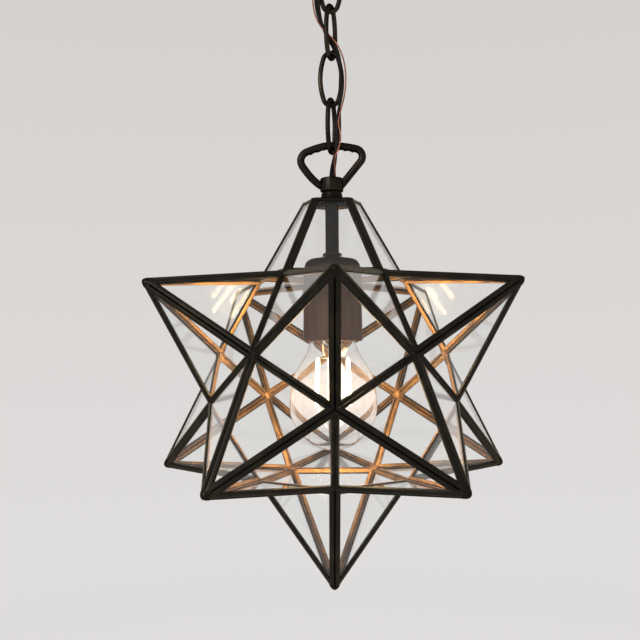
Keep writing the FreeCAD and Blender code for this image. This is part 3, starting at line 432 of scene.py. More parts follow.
@dataclass(frozen=True)
class ClearGlass:
    """Clear sheet or blown glass, with faint waves.

    glow is the strength of a painted warm glow that the glass of a lit bulb gives off itself, in
    place of the haze of light round the strips. It fades out at glow_reach above and below
    glow_at.
    """

    name: str
    tint: Spot = (0.980, 0.987, 0.983)
    wave: float = 7.0
    wave_detail: float = 2.0
    relief: float = 0.000022
    strength: float = 0.5
    index: float = 1.46
    gloss: float = 0.09
    coat: float = 0.0
    coat_rough: float = 0.11
    coat_index: float = 1.15
    glow: float = 0.0
    glow_tone: Spot = (1.0, 0.66, 0.40)
    glow_at: float = -0.382
    glow_reach: float = 0.034

    def build(self) -> bpy.types.Material:
        """Builds the glass, which lets the light of the lamps pass.

        Returns:
            The material.
        """
        graph = Graph(self.name)
        waves = graph.noise(self.wave, self.wave_detail)
        body = graph.add("BsdfPrincipled", Base_Color=(*self.tint, 1.0), Roughness=0.0,
                         IOR=self.index, Transmission_Weight=1.0, Specular_IOR_Level=self.gloss,
                         Coat_Weight=self.coat, Coat_Roughness=self.coat_rough,
                         Coat_IOR=self.coat_index,
                         Normal=graph.bump(waves, self.relief, self.strength))
        # painted glow: the glass itself gives off warm light, strongest at the height of the
        # strips
        if self.glow:
            away = graph.math("ABSOLUTE", graph.math("SUBTRACT", graph.height(), self.glow_at))
            graph.put(body, "Emission Color", (*self.glow_tone, 1.0))
            graph.put(body, "Emission Strength",
                      graph.ramp(away, 0.0, self.glow_reach, self.glow, 0.0))
        clear = graph.add("BsdfTransparent", Color=(*self.tint, 1.0))
        rays = graph.add("LightPath").outputs
        share = graph.math("MAXIMUM", rays["Is Shadow Ray"], rays["Is Diffuse Ray"])
        return graph.finish(graph.mixed(share, body, clear))


@dataclass(frozen=True)
class Glow:
    """A lit light strip, paler in fine specks."""

    name: str = "lit_strip"
    tone: Spot = (1.0, 0.72, 0.38)
    speck: Spot = (1.0, 0.8, 0.5)
    grain: float = 900.0
    grain_detail: float = 1.0
    grain_span: Span = (0.3, 0.7)
    roughness: float = 0.5
    strength: float = 260.0

    def build(self) -> bpy.types.Material:
        """Builds the glow.

        Returns:
            The material.
        """
        graph = Graph(self.name)
        specks = graph.ramp(graph.noise(self.grain, self.grain_detail), *self.grain_span)
        return graph.finish(graph.add(
            "BsdfPrincipled", Base_Color=(*self.tone, 1.0), Roughness=self.roughness,
            Emission_Color=graph.blend(specks, self.tone, self.speck),
            Emission_Strength=self.strength))


class Finishes:
    """Every material of the object, built once."""

    def __init__(self) -> None:
        """Builds them."""
        self.bronze = Bronze().build()
        self.links = Bronze("link_bronze", second=(0.06, 0.043, 0.03), rough=(0.23, 0.40)).build()
        self.patina = CamePatina().build()
        self.came_brass = CameBrass().build()
        self.solder = Solder().build()
        self.pane = ClearGlass("pane_glass", index=1.29, coat=1.0).build()
        blown = {"tint": (0.99, 0.985, 0.98), "wave": 30.0, "relief": 0.00004, "gloss": 0.3}
        # the bulb's glass carries a painted warm glow
        self.bulb = ClearGlass("lamp_glass", glow=0.11, **blown).build()
        self.stem = ClearGlass("stem_glass", **blown).build()
        self.cup = CupBronze().build()
        self.stalk = Bronze("stem_bronze", (0.010, 0.0095, 0.008), (0.022, 0.017, 0.013),
                            (0.29, 0.46), (0.22, 0.2, 0.18)).build()
        self.steel = Metal("zinc_steel", (0.5, 0.5, 0.49), (0.32, 0.32, 0.31),
                           (0.22, 0.40)).build()
        self.brass = Metal("shell_brass", (0.7, 0.48, 0.2), (0.45, 0.28, 0.1),
                           (0.17, 0.35)).build()
        self.nickel = Metal("base_nickel", (0.66, 0.64, 0.6), (0.45, 0.43, 0.4),
                            (0.14, 0.32)).build()
        self.copper = Metal("bare_copper", (0.30, 0.115, 0.07), (0.13, 0.047, 0.03),
                            (0.28, 0.46)).build()
        self.flex = Plastic("flex_sheath", (0.006, 0.0055, 0.005), (0.014, 0.0125, 0.011),
                            (0.5, 0.5), gloss=0.12).build()
        self.core = Plastic("socket_core", (0.02, 0.014, 0.011), (0.05, 0.035, 0.028),
                            (0.45, 0.45)).build()
        self.insulator = Plastic("base_insulator", (0.012, 0.012, 0.016), (0.03, 0.03, 0.04),
                                 (0.15, 0.15)).build()
        self.glow = Glow().build()


# ---------------------------------------------------------------------------------------------
# Mesh building
# ---------------------------------------------------------------------------------------------
def piece(name: str, shape: Shape, material: bpy.types.Material,
          body: Body | None = None, node: str | None = None,
          smooth: float | None = 0.7) -> bpy.types.Object:
    """A mesh object in the row frame.

    Args:
        name: The piece's name.
        shape: Its corners and faces.
        material: Its finish.
        body: The body that it rides on, if it rides whole.
        node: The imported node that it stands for, if any.
        smooth: Edges flatter than this angle are shaded smooth; None keeps facets.

    Returns:
        The object.
    """
    corners, faces = shape
    mesh = bpy.data.meshes.new(name)
    mesh.from_pydata([tuple(corner) for corner in corners], [], faces)
    mesh.validate()
    work = bmesh.new()
    work.from_mesh(mesh)
    bmesh.ops.recalc_face_normals(work, faces=work.faces)
    work.to_mesh(mesh)
    work.free()
    mesh.materials.append(material)
    item = bpy.data.objects.new(name, mesh)
    bpy.context.scene.collection.objects.link(item)
    if smooth is not None:
        mesh.polygons.foreach_set("use_smooth", [True] * len(mesh.polygons))
        mesh.set_sharp_from_angle(angle=smooth)
    if body is not None:
        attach(item, body.value)
    if node is not None:
        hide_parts(node)
    log.info("%s: %d faces", name, len(mesh.polygons))
    return item


def joined(shapes: list[Shape]) -> Shape:
    """Several shapes as one.

    Args:
        shapes: The shapes.

    Returns:
        The shape that holds them all.
    """
    corners: list[Vector] = []
    faces: list[tuple[int, ...]] = []
    for more, sides in shapes:
        start = len(corners)
        corners += more
        faces += [tuple(index + start for index in side) for side in sides]
    return corners, faces


def ring_faces(rings: int, sides: int, closed: bool, caps: bool) -> list[tuple[int, ...]]:
    """Faces between rings of corners, numbered ring by ring.

    Args:
        rings: Number of rings.
        sides: Corners of each ring.
        closed: Whether the last ring joins the first.
        caps: Whether the first and the last ring of an open row are filled.

    Returns:
        The faces.
    """
    faces = []
    for ring in range(rings if closed else rings - 1):
        here, there = ring * sides, (ring + 1) % rings * sides
        for side in range(sides):
            after = (side + 1) % sides
            faces.append((here + side, here + after, there + after, there + side))
    if caps and not closed:
        faces.append(tuple(range(sides))[::-1])
        faces.append(tuple((rings - 1) * sides + side for side in range(sides)))
    return faces


def polar(reach: float, turn: float, height: float) -> Vector:
    """A corner from its distance from the axis, its azimuth and its height."""
    return Vector((reach * math.cos(turn), reach * math.sin(turn), height))


def direction(lean: float, azimuth: float) -> Vector:
    """A direction from its angle from +Z and its azimuth."""
    return polar(math.sin(lean), azimuth, math.cos(lean))


def frames(points: list[Vector], closed: bool) -> list[tuple[Vector, Vector]]:
    """Two directions square to a line at each of its points, turning as little as they can.

    Args:
        points: The line's points.
        closed: Whether the line joins its own start.

    Returns:
        A pair of directions for each point.
    """
    count = len(points)
    found = []
    across: Vector | None = None
    for index in range(count):
        before = points[index - 1] if index or closed else points[0]
        after = points[(index + 1) % count] if index < count - 1 or closed else points[-1]
        along = (after - before).normalized()
        if across is None:
            side = Vector((0, 1, 0)) if abs(along.y) < NEAR_Y else Vector((1, 0, 0))
            across = along.cross(side).normalized()
        across = (across - along * across.dot(along)).normalized()
        found.append((across.copy(), along.cross(across)))
    return found


def swept(points: list[Vector], radius: float | list[float], sides: int,
          closed: bool = False) -> Shape:
    """A round bar along a line.

    Args:
        points: The line's points.
        radius: The bar's radius, or one for each point.
        sides: Corners round the bar.
        closed: Whether the bar joins its own start.

    Returns:
        The shape.
    """
    radii = radius if isinstance(radius, list) else [radius] * len(points)
    corners = []
    for point, size, (one, two) in zip(points, radii, frames(points, closed)):
        for side in range(sides):
            turn = math.tau * side / sides
            corners.append(point + (one * math.cos(turn) + two * math.sin(turn)) * size)
    return corners, ring_faces(len(points), sides, closed, True)


def turned(profile: Outline, sides: int = 72) -> Shape:
    """A turned shape.

    Args:
        profile: Its closed outline (radius, height) beside the lamp's axis.
        sides: Corners round the axis.

    Returns:
        The shape.
    """
    corners = [polar(radius, math.tau * side / sides, height)
               for radius, height in profile for side in range(sides)]
    return corners, ring_faces(len(profile), sides, True, False)


def softened(profile: Outline, radius: float | tuple[float, ...], steps: int = 3) -> Outline:
    """A closed outline with its corners rounded.

    Args:
        profile: The outline.
        radius: Radius of all the corners, or one for each.
        steps: Steps of each rounded corner.

    Returns:
        The new outline.
    """
    soft = []
    count = len(profile)
    radii = radius if isinstance(radius, tuple) else (radius,) * count
    for index in range(count):
        before = Vector(profile[index - 1])
        here = Vector(profile[index])
        after = Vector(profile[(index + 1) % count])
        edge = min((before - here).length, (after - here).length)
        room = min(radii[index], CORNER_ROOM * edge)
        first = here + (before - here).normalized() * room
        last = here + (after - here).normalized() * room
        for step in range(steps + 1):
            share = step / steps
            spot = first.lerp(here, share).lerp(here.lerp(last, share), share)
            soft.append((spot.x, spot.y))
    return soft


def bow(start: Span, through: Span, end: Span, steps: int) -> Outline:
    """Points of an arc.

    Args:
        start: Where it starts.
        through: A point on it.
        end: Where it ends.
        steps: Number of steps.

    Returns:
        Its points, without the start.
    """
    (x1, y1), (x2, y2), (x3, y3) = start, through, end
    scale = 2.0 * (x1 * (y2 - y3) + x2 * (y3 - y1) + x3 * (y1 - y2))
    one, two, three = x1 * x1 + y1 * y1, x2 * x2 + y2 * y2, x3 * x3 + y3 * y3
    cx = (one * (y2 - y3) + two * (y3 - y1) + three * (y1 - y2)) / scale
    cy = (one * (x3 - x2) + two * (x1 - x3) + three * (x2 - x1)) / scale
    turns = [math.atan2(y - cy, x - cx) for x, y in (start, through, end)]
    sweep = (turns[2] - turns[0]) % math.tau
    if (turns[1] - turns[0]) % math.tau > sweep:
        sweep -= math.tau
    radius = math.hypot(x1 - cx, y1 - cy)
    return [(cx + radius * math.cos(turns[0] + sweep * step / steps),
             cy + radius * math.sin(turns[0] + sweep * step / steps))
            for step in range(1, steps + 1)]


def moved(shape: Shape, matrix: Matrix) -> Shape:
    """A shape carried by a matrix."""
    corners, faces = shape
    return [matrix @ corner for corner in corners], faces


def lowered(shape: Shape, height: float, turn: float = 0.0, tilt: float = 0.0) -> Shape:
    """A shape tilted about +X, turned about +Z and then set at a height on the lamp's axis."""
    return moved(shape, Matrix.Translation((0, 0, height)) @ Matrix.Rotation(turn, 4, "Z")
                 @ Matrix.Rotation(tilt, 4, "X"))


def dress(material: bpy.types.Material, *nodes: str) -> None:
    """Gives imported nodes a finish.

    Args:
        material: The finish.
        *nodes: The nodes' names.
    """
    for name in nodes:
        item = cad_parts[name]
        item.data.materials.clear()
        item.data.materials.append(material)


# ---------------------------------------------------------------------------------------------
# Chain, loops and ceiling
# ---------------------------------------------------------------------------------------------
@dataclass
class Chain:
    """Four welded oval links of round wire."""

    wide: float = 0.0194
    high: float = 0.0430
    wire: float = 0.00178
    end: float = 0.0056
    weld: float = 0.00018
    weld_at: float = -0.004
    weld_long: float = 0.0011
    arc_steps: int = 36
    sides: int = 20
    middles: tuple[float, ...] = (-0.1841, -0.1488, -0.1135, -0.0782)
    turns: tuple[float, ...] = (70.0, 0.0, 65.0, 0.0)
    bodies: tuple[Body, ...] = (Body.LINK_1, Body.LINK_2, Body.LINK_3, Body.LINK_4)

    def line(self) -> list[Vector]:
        """Middle line of a link: four arcs that run into each other.

        Returns:
            Its points, in the XZ plane.
        """
        half = self.wide / 2.0 - self.wire
        top = self.high / 2.0 - self.wire
        end_at = top - self.end
        side = (half * half + end_at * end_at - self.end * self.end) / ((half - self.end) * 2.0)
        share = side / (side - self.end)
        x, z = (side - half) * (share - 1.0), share * end_at
        joints = ((x, z), (-x, z), (-x, -z), (x, -z), (x, z))
        middles = ((0.0, top), (-half, 0.0), (0.0, -top), (half, 0.0))
        flat = []
        for start, middle, after in zip(joints, middles, joints[1:]):
            flat += bow(start, middle, after, self.arc_steps)
        return [Vector((u, 0.0, v)) for u, v in flat]

    def radius_at(self, spot: Vector) -> float:
        """Radius of the wire, with the small swell of its weld."""
        weld = math.exp(-((spot.z - self.weld_at) / self.weld_long) ** 2) if spot.x > 0 else 0.0
        return self.wire + self.weld * weld

    def build(self, finishes: Finishes) -> None:
        """Builds the links.

        Args:
            finishes: The materials.
        """
        line = self.line()
        link = swept(line, [self.radius_at(spot) for spot in line], self.sides, True)
        links = zip(self.middles, self.turns, self.bodies)
        for number, (middle, turn, body) in enumerate(links, start=1):
            piece(f"link_{number}_wire", lowered(link, middle, math.radians(turn)),
                  finishes.links, body, f"chain_link_{number}")
        log.info("chain: %d links", len(self.middles))


@dataclass
class Loop:
    """Cast loop on its hub, upright on its foot.

    Its left side is bent a little by hand: from droop_from outwards it drops by the slope droop,
    and its leg is bowed by leg_bow below droop_full, a share of the height. The underside of the
    arch has scallops between scallop_from and scallop_to from the middle.
    """

    wide: float = 0.0514
    high: float = 0.0376
    bar: float = 0.0028
    arch: float = 0.075
    corner: float = 0.006
    foot: Span = (0.0062, 0.0040)
    hub: float = 0.0086
    hub_high: float = 0.0106
    hub_soft: float = 0.00035
    edge: float = 0.0008
    bore: float = 0.0046
    seat: float = 0.0050
    neck: float = 0.0070
    neck_high: float = 0.0009
    droop: float = 0.16
    droop_from: float = 0.005
    droop_full: float = 0.66
    leg_bow: float = 0.0024
    scallop: float = 0.00075
    scallop_pitch: float = 0.0056
    scallop_from: float = 0.0048
    scallop_to: float = 0.0172
    arch_deep: float = 0.006
    leg_steps: int = 12
    corner_steps: int = 20
    arch_steps: int = 180
    sides: int = 24

    def line(self) -> list[Vector]:
        """Middle line of the bar from one foot to the other.

        Returns:
            Its points, in the XZ plane.
        """
        half = self.wide / 2.0 - self.bar
        top = self.high - self.bar
        x = half - self.corner
        z = top - self.arch + math.sqrt((self.arch - self.corner) ** 2 - x * x)
        lean = math.atan2(z - top + self.arch, x)
        join = (self.arch * math.cos(lean), top - self.arch + self.arch * math.sin(lean))
        reach = math.hypot(x - self.foot[0], z - self.foot[1])
        slope = math.atan2(z - self.foot[1], x - self.foot[0]) - math.asin(self.corner / reach)
        leg = math.sqrt(reach ** 2 - self.corner ** 2)
        touch = (self.foot[0] + leg * math.cos(slope), self.foot[1] + leg * math.sin(slope))
        middle = (lean + slope - math.pi / 2.0) / 2.0
        shoulder = (x + self.corner * math.cos(middle), z + self.corner * math.sin(middle))
        side = [(self.foot[0] + (touch[0] - self.foot[0]) * step / self.leg_steps,
                 self.foot[1] + (touch[1] - self.foot[1]) * step / self.leg_steps)
                for step in range(self.leg_steps + 1)]
        side += bow(touch, shoulder, join, self.corner_steps)
        arch = bow(join, (0.0, top), (-join[0], join[1]), self.arch_steps)
        flat = side + arch + [(-u, v) for u, v in reversed(side)][1:]
        return [Vector((u, 0.0, v - self.droop_at(u, v))) for u, v in flat]

    def droop_at(self, u: float, v: float) -> float:
        """How far the hand-bent side of the bar hangs lower than the other one.

        Args:
            u: Place across the loop.
            v: Height above the foot.

        Returns:
            The drop there.
        """
        if u >= 0.0:
            return 0.0
        share = min(1.0, (v - self.foot[1]) / (self.high * self.droop_full - self.foot[1]))
        if share < 1.0:
            half = self.wide / 2.0 - self.bar
            return (self.droop * (half - self.droop_from) * share
                    + self.leg_bow * 4.0 * share * (1.0 - share))
        return self.droop * max(0.0, -u - self.droop_from)

    def bar_shape(self) -> Shape:
        """The bar, with scallops cast into the underside of its arch.

        Returns:
            The shape, in the XZ plane.
        """
        points = self.line()
        corners, faces = swept(points, self.bar, self.sides)
        for index, point in enumerate(points):
            reach = abs(point.x)
            if point.z < self.high - self.bar - self.arch_deep or not (
                    self.scallop_from < reach < self.scallop_to):
                continue
            phase = (reach - self.scallop_from) / self.scallop_pitch
            tooth = (1.0 - abs(math.sin(math.pi * phase))) * self.scallop
            for corner in corners[index * self.sides:(index + 1) * self.sides]:
                below = max(0.0, (point.z - corner.z) / self.bar)
                corner.z -= tooth * below ** 2
        return corners, faces

    def hub_shape(self) -> Shape:
        """The turned hub with its groove.

        Returns:
            The shape.
        """
        half = self.hub_high / 2.0
        outline = [
            (self.seat, -self.neck_high), (self.neck, -self.neck_high), (self.neck, 0.0),
            (self.hub - self.edge, 0.0), (self.hub, self.edge),
            (self.hub, self.hub_high - self.edge), (self.hub - self.edge, self.hub_high),
            (self.bore, self.hub_high), (self.bore, half), (self.seat, half),
        ]
        return turned(softened(outline, self.hub_soft))

    def shape(self) -> Shape:
        """The loop, with its foot at the origin."""
        return joined([self.bar_shape(), self.hub_shape()])


@dataclass
class Ring:
    """Ring with a rounded rim, between the ceiling's loop and the canopy."""

    hole: float = 0.0050
    radius: float = 0.0083
    high: float = 0.0028
    rim: float = 0.0006
    rim_edge: float = 0.0002
    flat_edge: float = 0.0011
    steps: int = 10

    def shape(self) -> Shape:
        """The ring, standing on its foot.

        Returns:
            The shape.
        """
        half = self.high / 2.0
        rim = [(self.radius - self.rim + self.rim * math.cos(turn),
                half + (half - self.rim_edge) * math.sin(turn))
               for turn in np.linspace(-math.pi / 2, math.pi / 2, self.steps + 1)]
        flat = self.radius - self.flat_edge
        return turned([(self.hole, self.high), (self.hole, 0.0), (flat, 0.0), *rim,
                       (flat, self.high)])


@dataclass
class Ceiling:
    """Canopy with its ring and loop, on a strap.

    bulge is the point that the dome's arc passes through, as shares of its radius and height.
    """

    radius: float = 0.0635
    high: float = 0.025
    flat: float = 0.015
    lip: float = 0.004
    wall: float = 0.0012
    roll: float = 0.0004
    hole: float = 0.0050
    bulge: Span = (0.86, 0.56)
    bulge_wall: float = 0.75
    steps: int = 30
    sides: int = 96
    hub_foot: float = -0.0287
    ring_foot: float = -0.0278

    def dome(self) -> Shape:
        """The spun canopy.

        Returns:
            The shape.
        """
        low, inside = -self.high, self.radius - self.wall
        bulge = (self.radius * self.bulge[0],
                 -(self.lip + (self.high - self.lip) * self.bulge[1]))
        inner = (bulge[0] - self.wall * self.bulge_wall, bulge[1] + self.wall * self.bulge_wall)
        outline = [(self.hole, low + self.wall), (self.hole, low), (self.flat, low)]
        outline += bow((self.flat, low), bulge, (self.radius, -self.lip), self.steps)
        outline += [(self.radius, -self.roll), (self.radius - self.roll, 0.0),
                    (inside, 0.0), (inside, -self.lip)]
        outline += bow((inside, -self.lip), inner, (self.flat, low + self.wall), self.steps)
        return turned(outline, self.sides)

    def build(self, finishes: Finishes) -> None:
        """Builds the canopy, its loop and ring, and dresses the strap, tube, nut and leads.

        Args:
            finishes: The materials.
        """
        piece("canopy_dome", self.dome(), finishes.bronze, Body.CEILING, "canopy")
        piece("ceiling_loop_cast",
              lowered(Loop().shape(), self.hub_foot, math.pi / 2, math.pi),
              finishes.bronze, Body.CEILING, "ceiling_loop")
        piece("ceiling_ring", lowered(Ring().shape(), self.ring_foot), finishes.bronze,
              Body.CEILING, "ceiling_collar")
        dress(finishes.steel, "mounting_strap", "ceiling_tube", "ceiling_nut")
        dress(finishes.flex, "flex_lead")
        dress(finishes.copper, "earth_lead")
        log.info("ceiling: canopy, loop and ring")


# ---------------------------------------------------------------------------------------------
# Wires
# ---------------------------------------------------------------------------------------------
@dataclass
class Wiring:
    """Twin flex and bare earth wire, woven through the chain."""

    # x, y, height above the foot of the star's hub in mm, and the earth wire's side of the flex in
    # degrees
    route: tuple[tuple[float, float, float, float], ...] = (
        (0.45, 0.0, 201.1, 180.0), (-0.4, -0.6, 190.6, -170.0), (-5.9, -4.9, 177.1, -140.0),
        (-8.1, -4.4, 163.1, -165.0), (-10.6, -4.3, 146.6, 173.0), (-9.0, -1.8, 133.1, -162.0),
        (-5.4, -0.4, 122.6, -120.0), (0.6, -1.3, 112.6, -52.0), (5.0, -4.6, 103.1, -32.0),
        (7.9, -4.4, 91.1, -11.0), (7.6, -4.4, 75.1, -8.0), (6.0, -4.6, 63.1, -53.0),
        (5.2, -3.6, 51.1, -101.0), (5.3, -5.0, 41.6, -59.0), (3.4, -6.6, 33.1, -32.0),
        (2.4, -5.0, 24.6, -100.0), (0.6, -1.2, 16.1, -50.0), (-0.45, 0.0, 4.1, 0.0),
    )
    hub_foot: float = -0.2336
    low_end: float = -0.2845
    reach: float = 0.0032
    strand: float = 0.00112
    spread: float = 0.00098
    earth: float = 0.00055
    twist: float = 95.0
    twist_start: float = 20.0
    sides: int = 10
    curve_steps: int = 10
    curve_order: int = 3
    cuts: tuple[float, ...] = (-0.07875, -0.1160, -0.1505, -0.18725)
    bend_ends: Span = (-0.0325, -0.2190)
    bend_inset: float = 0.004
    bodies: tuple[Body, ...] = (
        Body.CEILING, Body.LINK_4, Body.LINK_3, Body.LINK_2, Body.LINK_1, Body.STAR)

    def flex_points(self) -> list[Vector]:
        """The flex's route, with its straight run down to the socket.

        Returns:
            Its points in the row frame.
        """
        foot = Vector((0, 0, self.hub_foot))
        points = [foot + Vector((x, y, z)) / MM_PER_METRE for x, y, z, side in self.route]
        return points + [Vector((points[-1].x, points[-1].y, self.low_end))]

    def earth_points(self) -> list[Vector]:
        """The earth wire's route, beside the flex.

        Returns:
            Its points in the row frame.
        """
        flex = self.flex_points()
        sides = [side for x, y, z, side in self.route]
        points = []
        for index, side in enumerate(sides + sides[-1:]):
            along = flex[min(index + 1, len(flex) - 1)] - flex[max(index - 1, 0)]
            along.normalize()
            step = polar(1.0, math.radians(side), 0.0)
            step = (step - along * step.dot(along)).normalized()
            points.append(flex[index] + step * self.reach)
        return points

    def spline(self, name: str, points: list[Vector]) -> list[Vector]:
        """The smooth curve that the route's points control.

        Args:
            name: The curve's name.
            points: The route's points.

        Returns:
            Points along the curve.
        """
        curve = bpy.data.curves.new(name, "CURVE")
        curve.dimensions = "3D"
        curve.resolution_u = self.curve_steps
        line = curve.splines.new("NURBS")
        line.points.add(len(points) - 1)
        for place, point in zip(line.points, points):
            place.co = (*point, 1.0)
        line.order_u = self.curve_order
        line.use_endpoint_u = True
        item = bpy.data.objects.new(name, curve)
        mesh = bpy.data.meshes.new_from_object(item)
        found = [vertex.co.copy() for vertex in mesh.vertices]
        bpy.data.objects.remove(item)
        bpy.data.meshes.remove(mesh)
        return found

    def strands(self, line: list[Vector]) -> list[list[Vector]]:
        """The two cores of the flex, turning slowly round its middle.

        Args:
            line: Points along its middle.

        Returns:
            Points along each core.
        """
        both: list[list[Vector]] = [[], []]
        run = 0.0
        for index, (point, (one, two)) in enumerate(zip(line, frames(line, False))):
            if index:
                run += (point - line[index - 1]).length
            turn = math.radians(self.twist_start) + run * self.twist
            step = (one * math.cos(turn) + two * math.sin(turn)) * self.spread
            both[0].append(point + step)
            both[1].append(point - step)
        return both

    def slice(self, line: list[Vector], radius: float, first: int, last: int) -> Shape:
        """The part of a wire between two of its points.

        Args:
            line: Points along the whole wire.
            radius: Its radius.
            first: Number of the first point.
            last: Number of the last point.

        Returns:
            The shape.
        """
        corners, faces = swept(line, radius, self.sides)
        kept = corners[first * self.sides:(last + 1) * self.sides]
        return kept, ring_faces(last - first + 1, self.sides, False, True)

    def pieces(self, name: str, lines: list[list[Vector]], radius: float,
               material: bpy.types.Material, node: str) -> None:
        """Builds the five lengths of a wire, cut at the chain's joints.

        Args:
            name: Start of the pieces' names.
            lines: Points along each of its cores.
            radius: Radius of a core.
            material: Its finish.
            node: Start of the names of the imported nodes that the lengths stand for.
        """
        guide = lines[0]
        marks = [0]
        for height in self.cuts:
            marks.append(min(range(len(guide)), key=lambda i: abs(guide[i].z - height)))
        marks.append(len(guide) - 1)
        for index, (first, last) in enumerate(zip(marks, marks[1:])):
            shapes = [self.slice(line, radius, first, last) for line in lines]
            item = piece(f"{name}_run_{index + 1}", joined(shapes), material,
                         node=f"{node}_{index + 1}")
            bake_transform(item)

    def build(self, finishes: Finishes) -> None:
        """Builds the flex and the earth wire.

        Args:
            finishes: The materials.
        """
        flex = self.spline("flex_route", self.flex_points())
        self.pieces("flex", self.strands(flex), self.strand, finishes.flex,
                    "flex_length")
        earth = self.spline("earth_route", self.earth_points())
        self.pieces("earth", [earth], self.earth, finishes.copper,
                    "earth_length")
        log.info("wires: %d and %d points", len(flex), len(earth))


# ---------------------------------------------------------------------------------------------
# Star
# ---------------------------------------------------------------------------------------------
def five_sided(turn: float) -> Span:
    """Azimuth from the nearest corner of a pentagon, and its side's share of a corner's reach."""
    off = abs((turn + FIFTH / 2.0) % FIFTH - FIFTH / 2.0)
    return off, math.cos(FIFTH / 2.0) / math.cos(FIFTH / 2.0 - off)


@dataclass
class Pane:
    """One pane of a point with its three cames, in the point's own frame, with its axis on +Z.

    The pane is centred on azimuth 0. Flat coordinates run along its foot (u) and up its slope (v),
    and depth (w) runs outwards from the middle of the glass.
    """

    apex: float = 0.155
    core: float = 0.093
    cut: float = 0.1530
    rim: float | None = None
    rim_slack: float = 0.0002
    rim_tuck: float = 0.0004
    gap: float = 0.0
    half_deep: float = 0.0017
    ridge_wide: float = 0.0040
    valley_wide: float = 0.0031
    rim_wide: float = 0.0026
    groove: float = 0.0014
    outer_round: float = 0.0012
    inner_round: float = 0.0006
    slit_round: float = 0.00024
    edge_round: float = 0.00015
    inner_groove: float = 0.00045
    groove_deep: float = 0.0008
    crease: float = 0.00005
    corner_steps: int = 4
    glass_half: float = 0.0010
    glass_seat: float = 0.0012

    def __post_init__(self) -> None:
        """Works out the pane's own directions."""
        self.base = self.core * math.cos(FACE_ANGLE)
        corner = self.core * math.sin(FACE_ANGLE)
        self.apothem = corner * math.cos(FIFTH / 2.0)
        self.half = corner * math.sin(FIFTH / 2.0)
        self.rise = self.apex - self.base
        self.slant = math.hypot(self.apothem, self.rise)
        self.foot = Vector((self.apothem, 0.0, self.base))
        self.up = Vector((-self.apothem, 0.0, self.rise)) / self.slant
        self.out = Vector((self.rise, 0.0, self.apothem)) / self.slant
        slope = Vector((-self.half, self.slant)).normalized()
        self.slope, self.inward = slope, Vector((-slope.y, slope.x))
        ridge = Vector((self.up.x * self.slant, -self.half, self.up.z * self.slant))
        inward = ridge.cross(self.out).normalized()
        wall = Vector((-math.sin(FIFTH / 2.0), math.cos(FIFTH / 2.0), 0.0))
        self.ridge_cot = -wall.dot(self.out) / wall.dot(inward)
        wall = Vector((self.base, 0.0, -self.apothem))
        self.valley_cot = -wall.dot(self.out) / wall.dot(self.up)

    def spot(self, u: float, v: float, w: float) -> Vector:
        """A point from flat coordinates and depth."""
        return self.foot + Vector((0.0, u, 0.0)) + self.up * v + self.out * w

    def ridge_at(self, inset: float, v: float) -> float:
        """Flat coordinate u of the right ridge's line, moved inwards, at a height on the slope."""
        start = Vector((self.half, 0.0)) + self.inward * inset
        return start.x + self.slope.x * (v - start.y) / self.slope.y

    def level(self, height: float, w: float) -> float:
        """Slope distance of a level plane at a depth."""
        return (height - self.base - self.out.z * w) / self.up.z

    def mitre(self) -> Vector:
        """Direction of the line on which the foot's came meets the ridge's, from the corner."""
        inner = Vector((self.ridge_at(self.ridge_wide, self.valley_wide), self.valley_wide))
        return inner - Vector((self.half, 0.0))

    def ridge_section(self) -> Outline:
        """Outline of a ridge's came.

        Returns:
            Its points: distance inwards and depth.
        """
        deep, low = self.half_deep, self.half_deep - self.groove_deep
        rounding = (self.inner_round, self.edge_round, self.crease, self.crease,
                    self.outer_round, self.outer_round)
        return softened([
            (self.ridge_wide, -deep), (self.inner_groove + self.ridge_cot * deep, -deep),
            (self.ridge_cot * low, -low), (0.0, 0.0),
            (self.groove - self.ridge_cot * deep, deep), (self.ridge_wide, deep),
        ], rounding, self.corner_steps)

    def valley_section(self) -> Outline:
        """Outline of a valley's came.

        Returns:
            Its points: distance inwards and depth.
        """
        deep, low = self.half_deep, self.half_deep - self.groove_deep
        start, cot = self.gap, self.valley_cot
        rounding = (self.inner_round, self.edge_round, self.crease, self.crease,
                    self.slit_round, self.outer_round)
        return softened([
            (self.valley_wide, -deep), (start + self.inner_groove - cot * deep, -deep),
            (start - cot * low, -low), (start, 0.0), (start + cot * deep, deep),
            (self.valley_wide, deep),
        ], rounding, self.corner_steps)

    def ridge_came(self, side: float) -> Shape:
        """The came along a ridge.

        Args:
            side: 1 for the right ridge, -1 for the left one.

        Returns:
            The shape.
        """
        mitre = self.mitre()
        section = self.ridge_section()
        high = self.cut if self.rim is None else self.rim + self.rim_slack
        low_end, high_end = [], []
        for inset, w in section:
            # the line u = a - b v crosses the mitre u = half + mitre.x s, v = mitre.y s
            a = self.ridge_at(inset, 0.0)
            b = a - self.ridge_at(inset, 1.0)
            low = mitre.y * (a - self.half) / (mitre.x + b * mitre.y)
            top = min(a / b, self.level(high, w))
            low_end.append(self.spot(side * (a - b * low), low, w))
            high_end.append(self.spot(side * (a - b * top), top, w))
        return low_end + high_end, ring_faces(2, len(section), False, True)

    def valley_came(self) -> Shape:
        """The came along the foot.

        Returns:
            The shape.
        """
        mitre = self.mitre()
        section = self.valley_section()
        corners = [self.spot(side * (self.half + mitre.x * inset / mitre.y), inset, w)
                   for side in (1.0, -1.0) for inset, w in section]
        return corners, ring_faces(2, len(section), False, True)

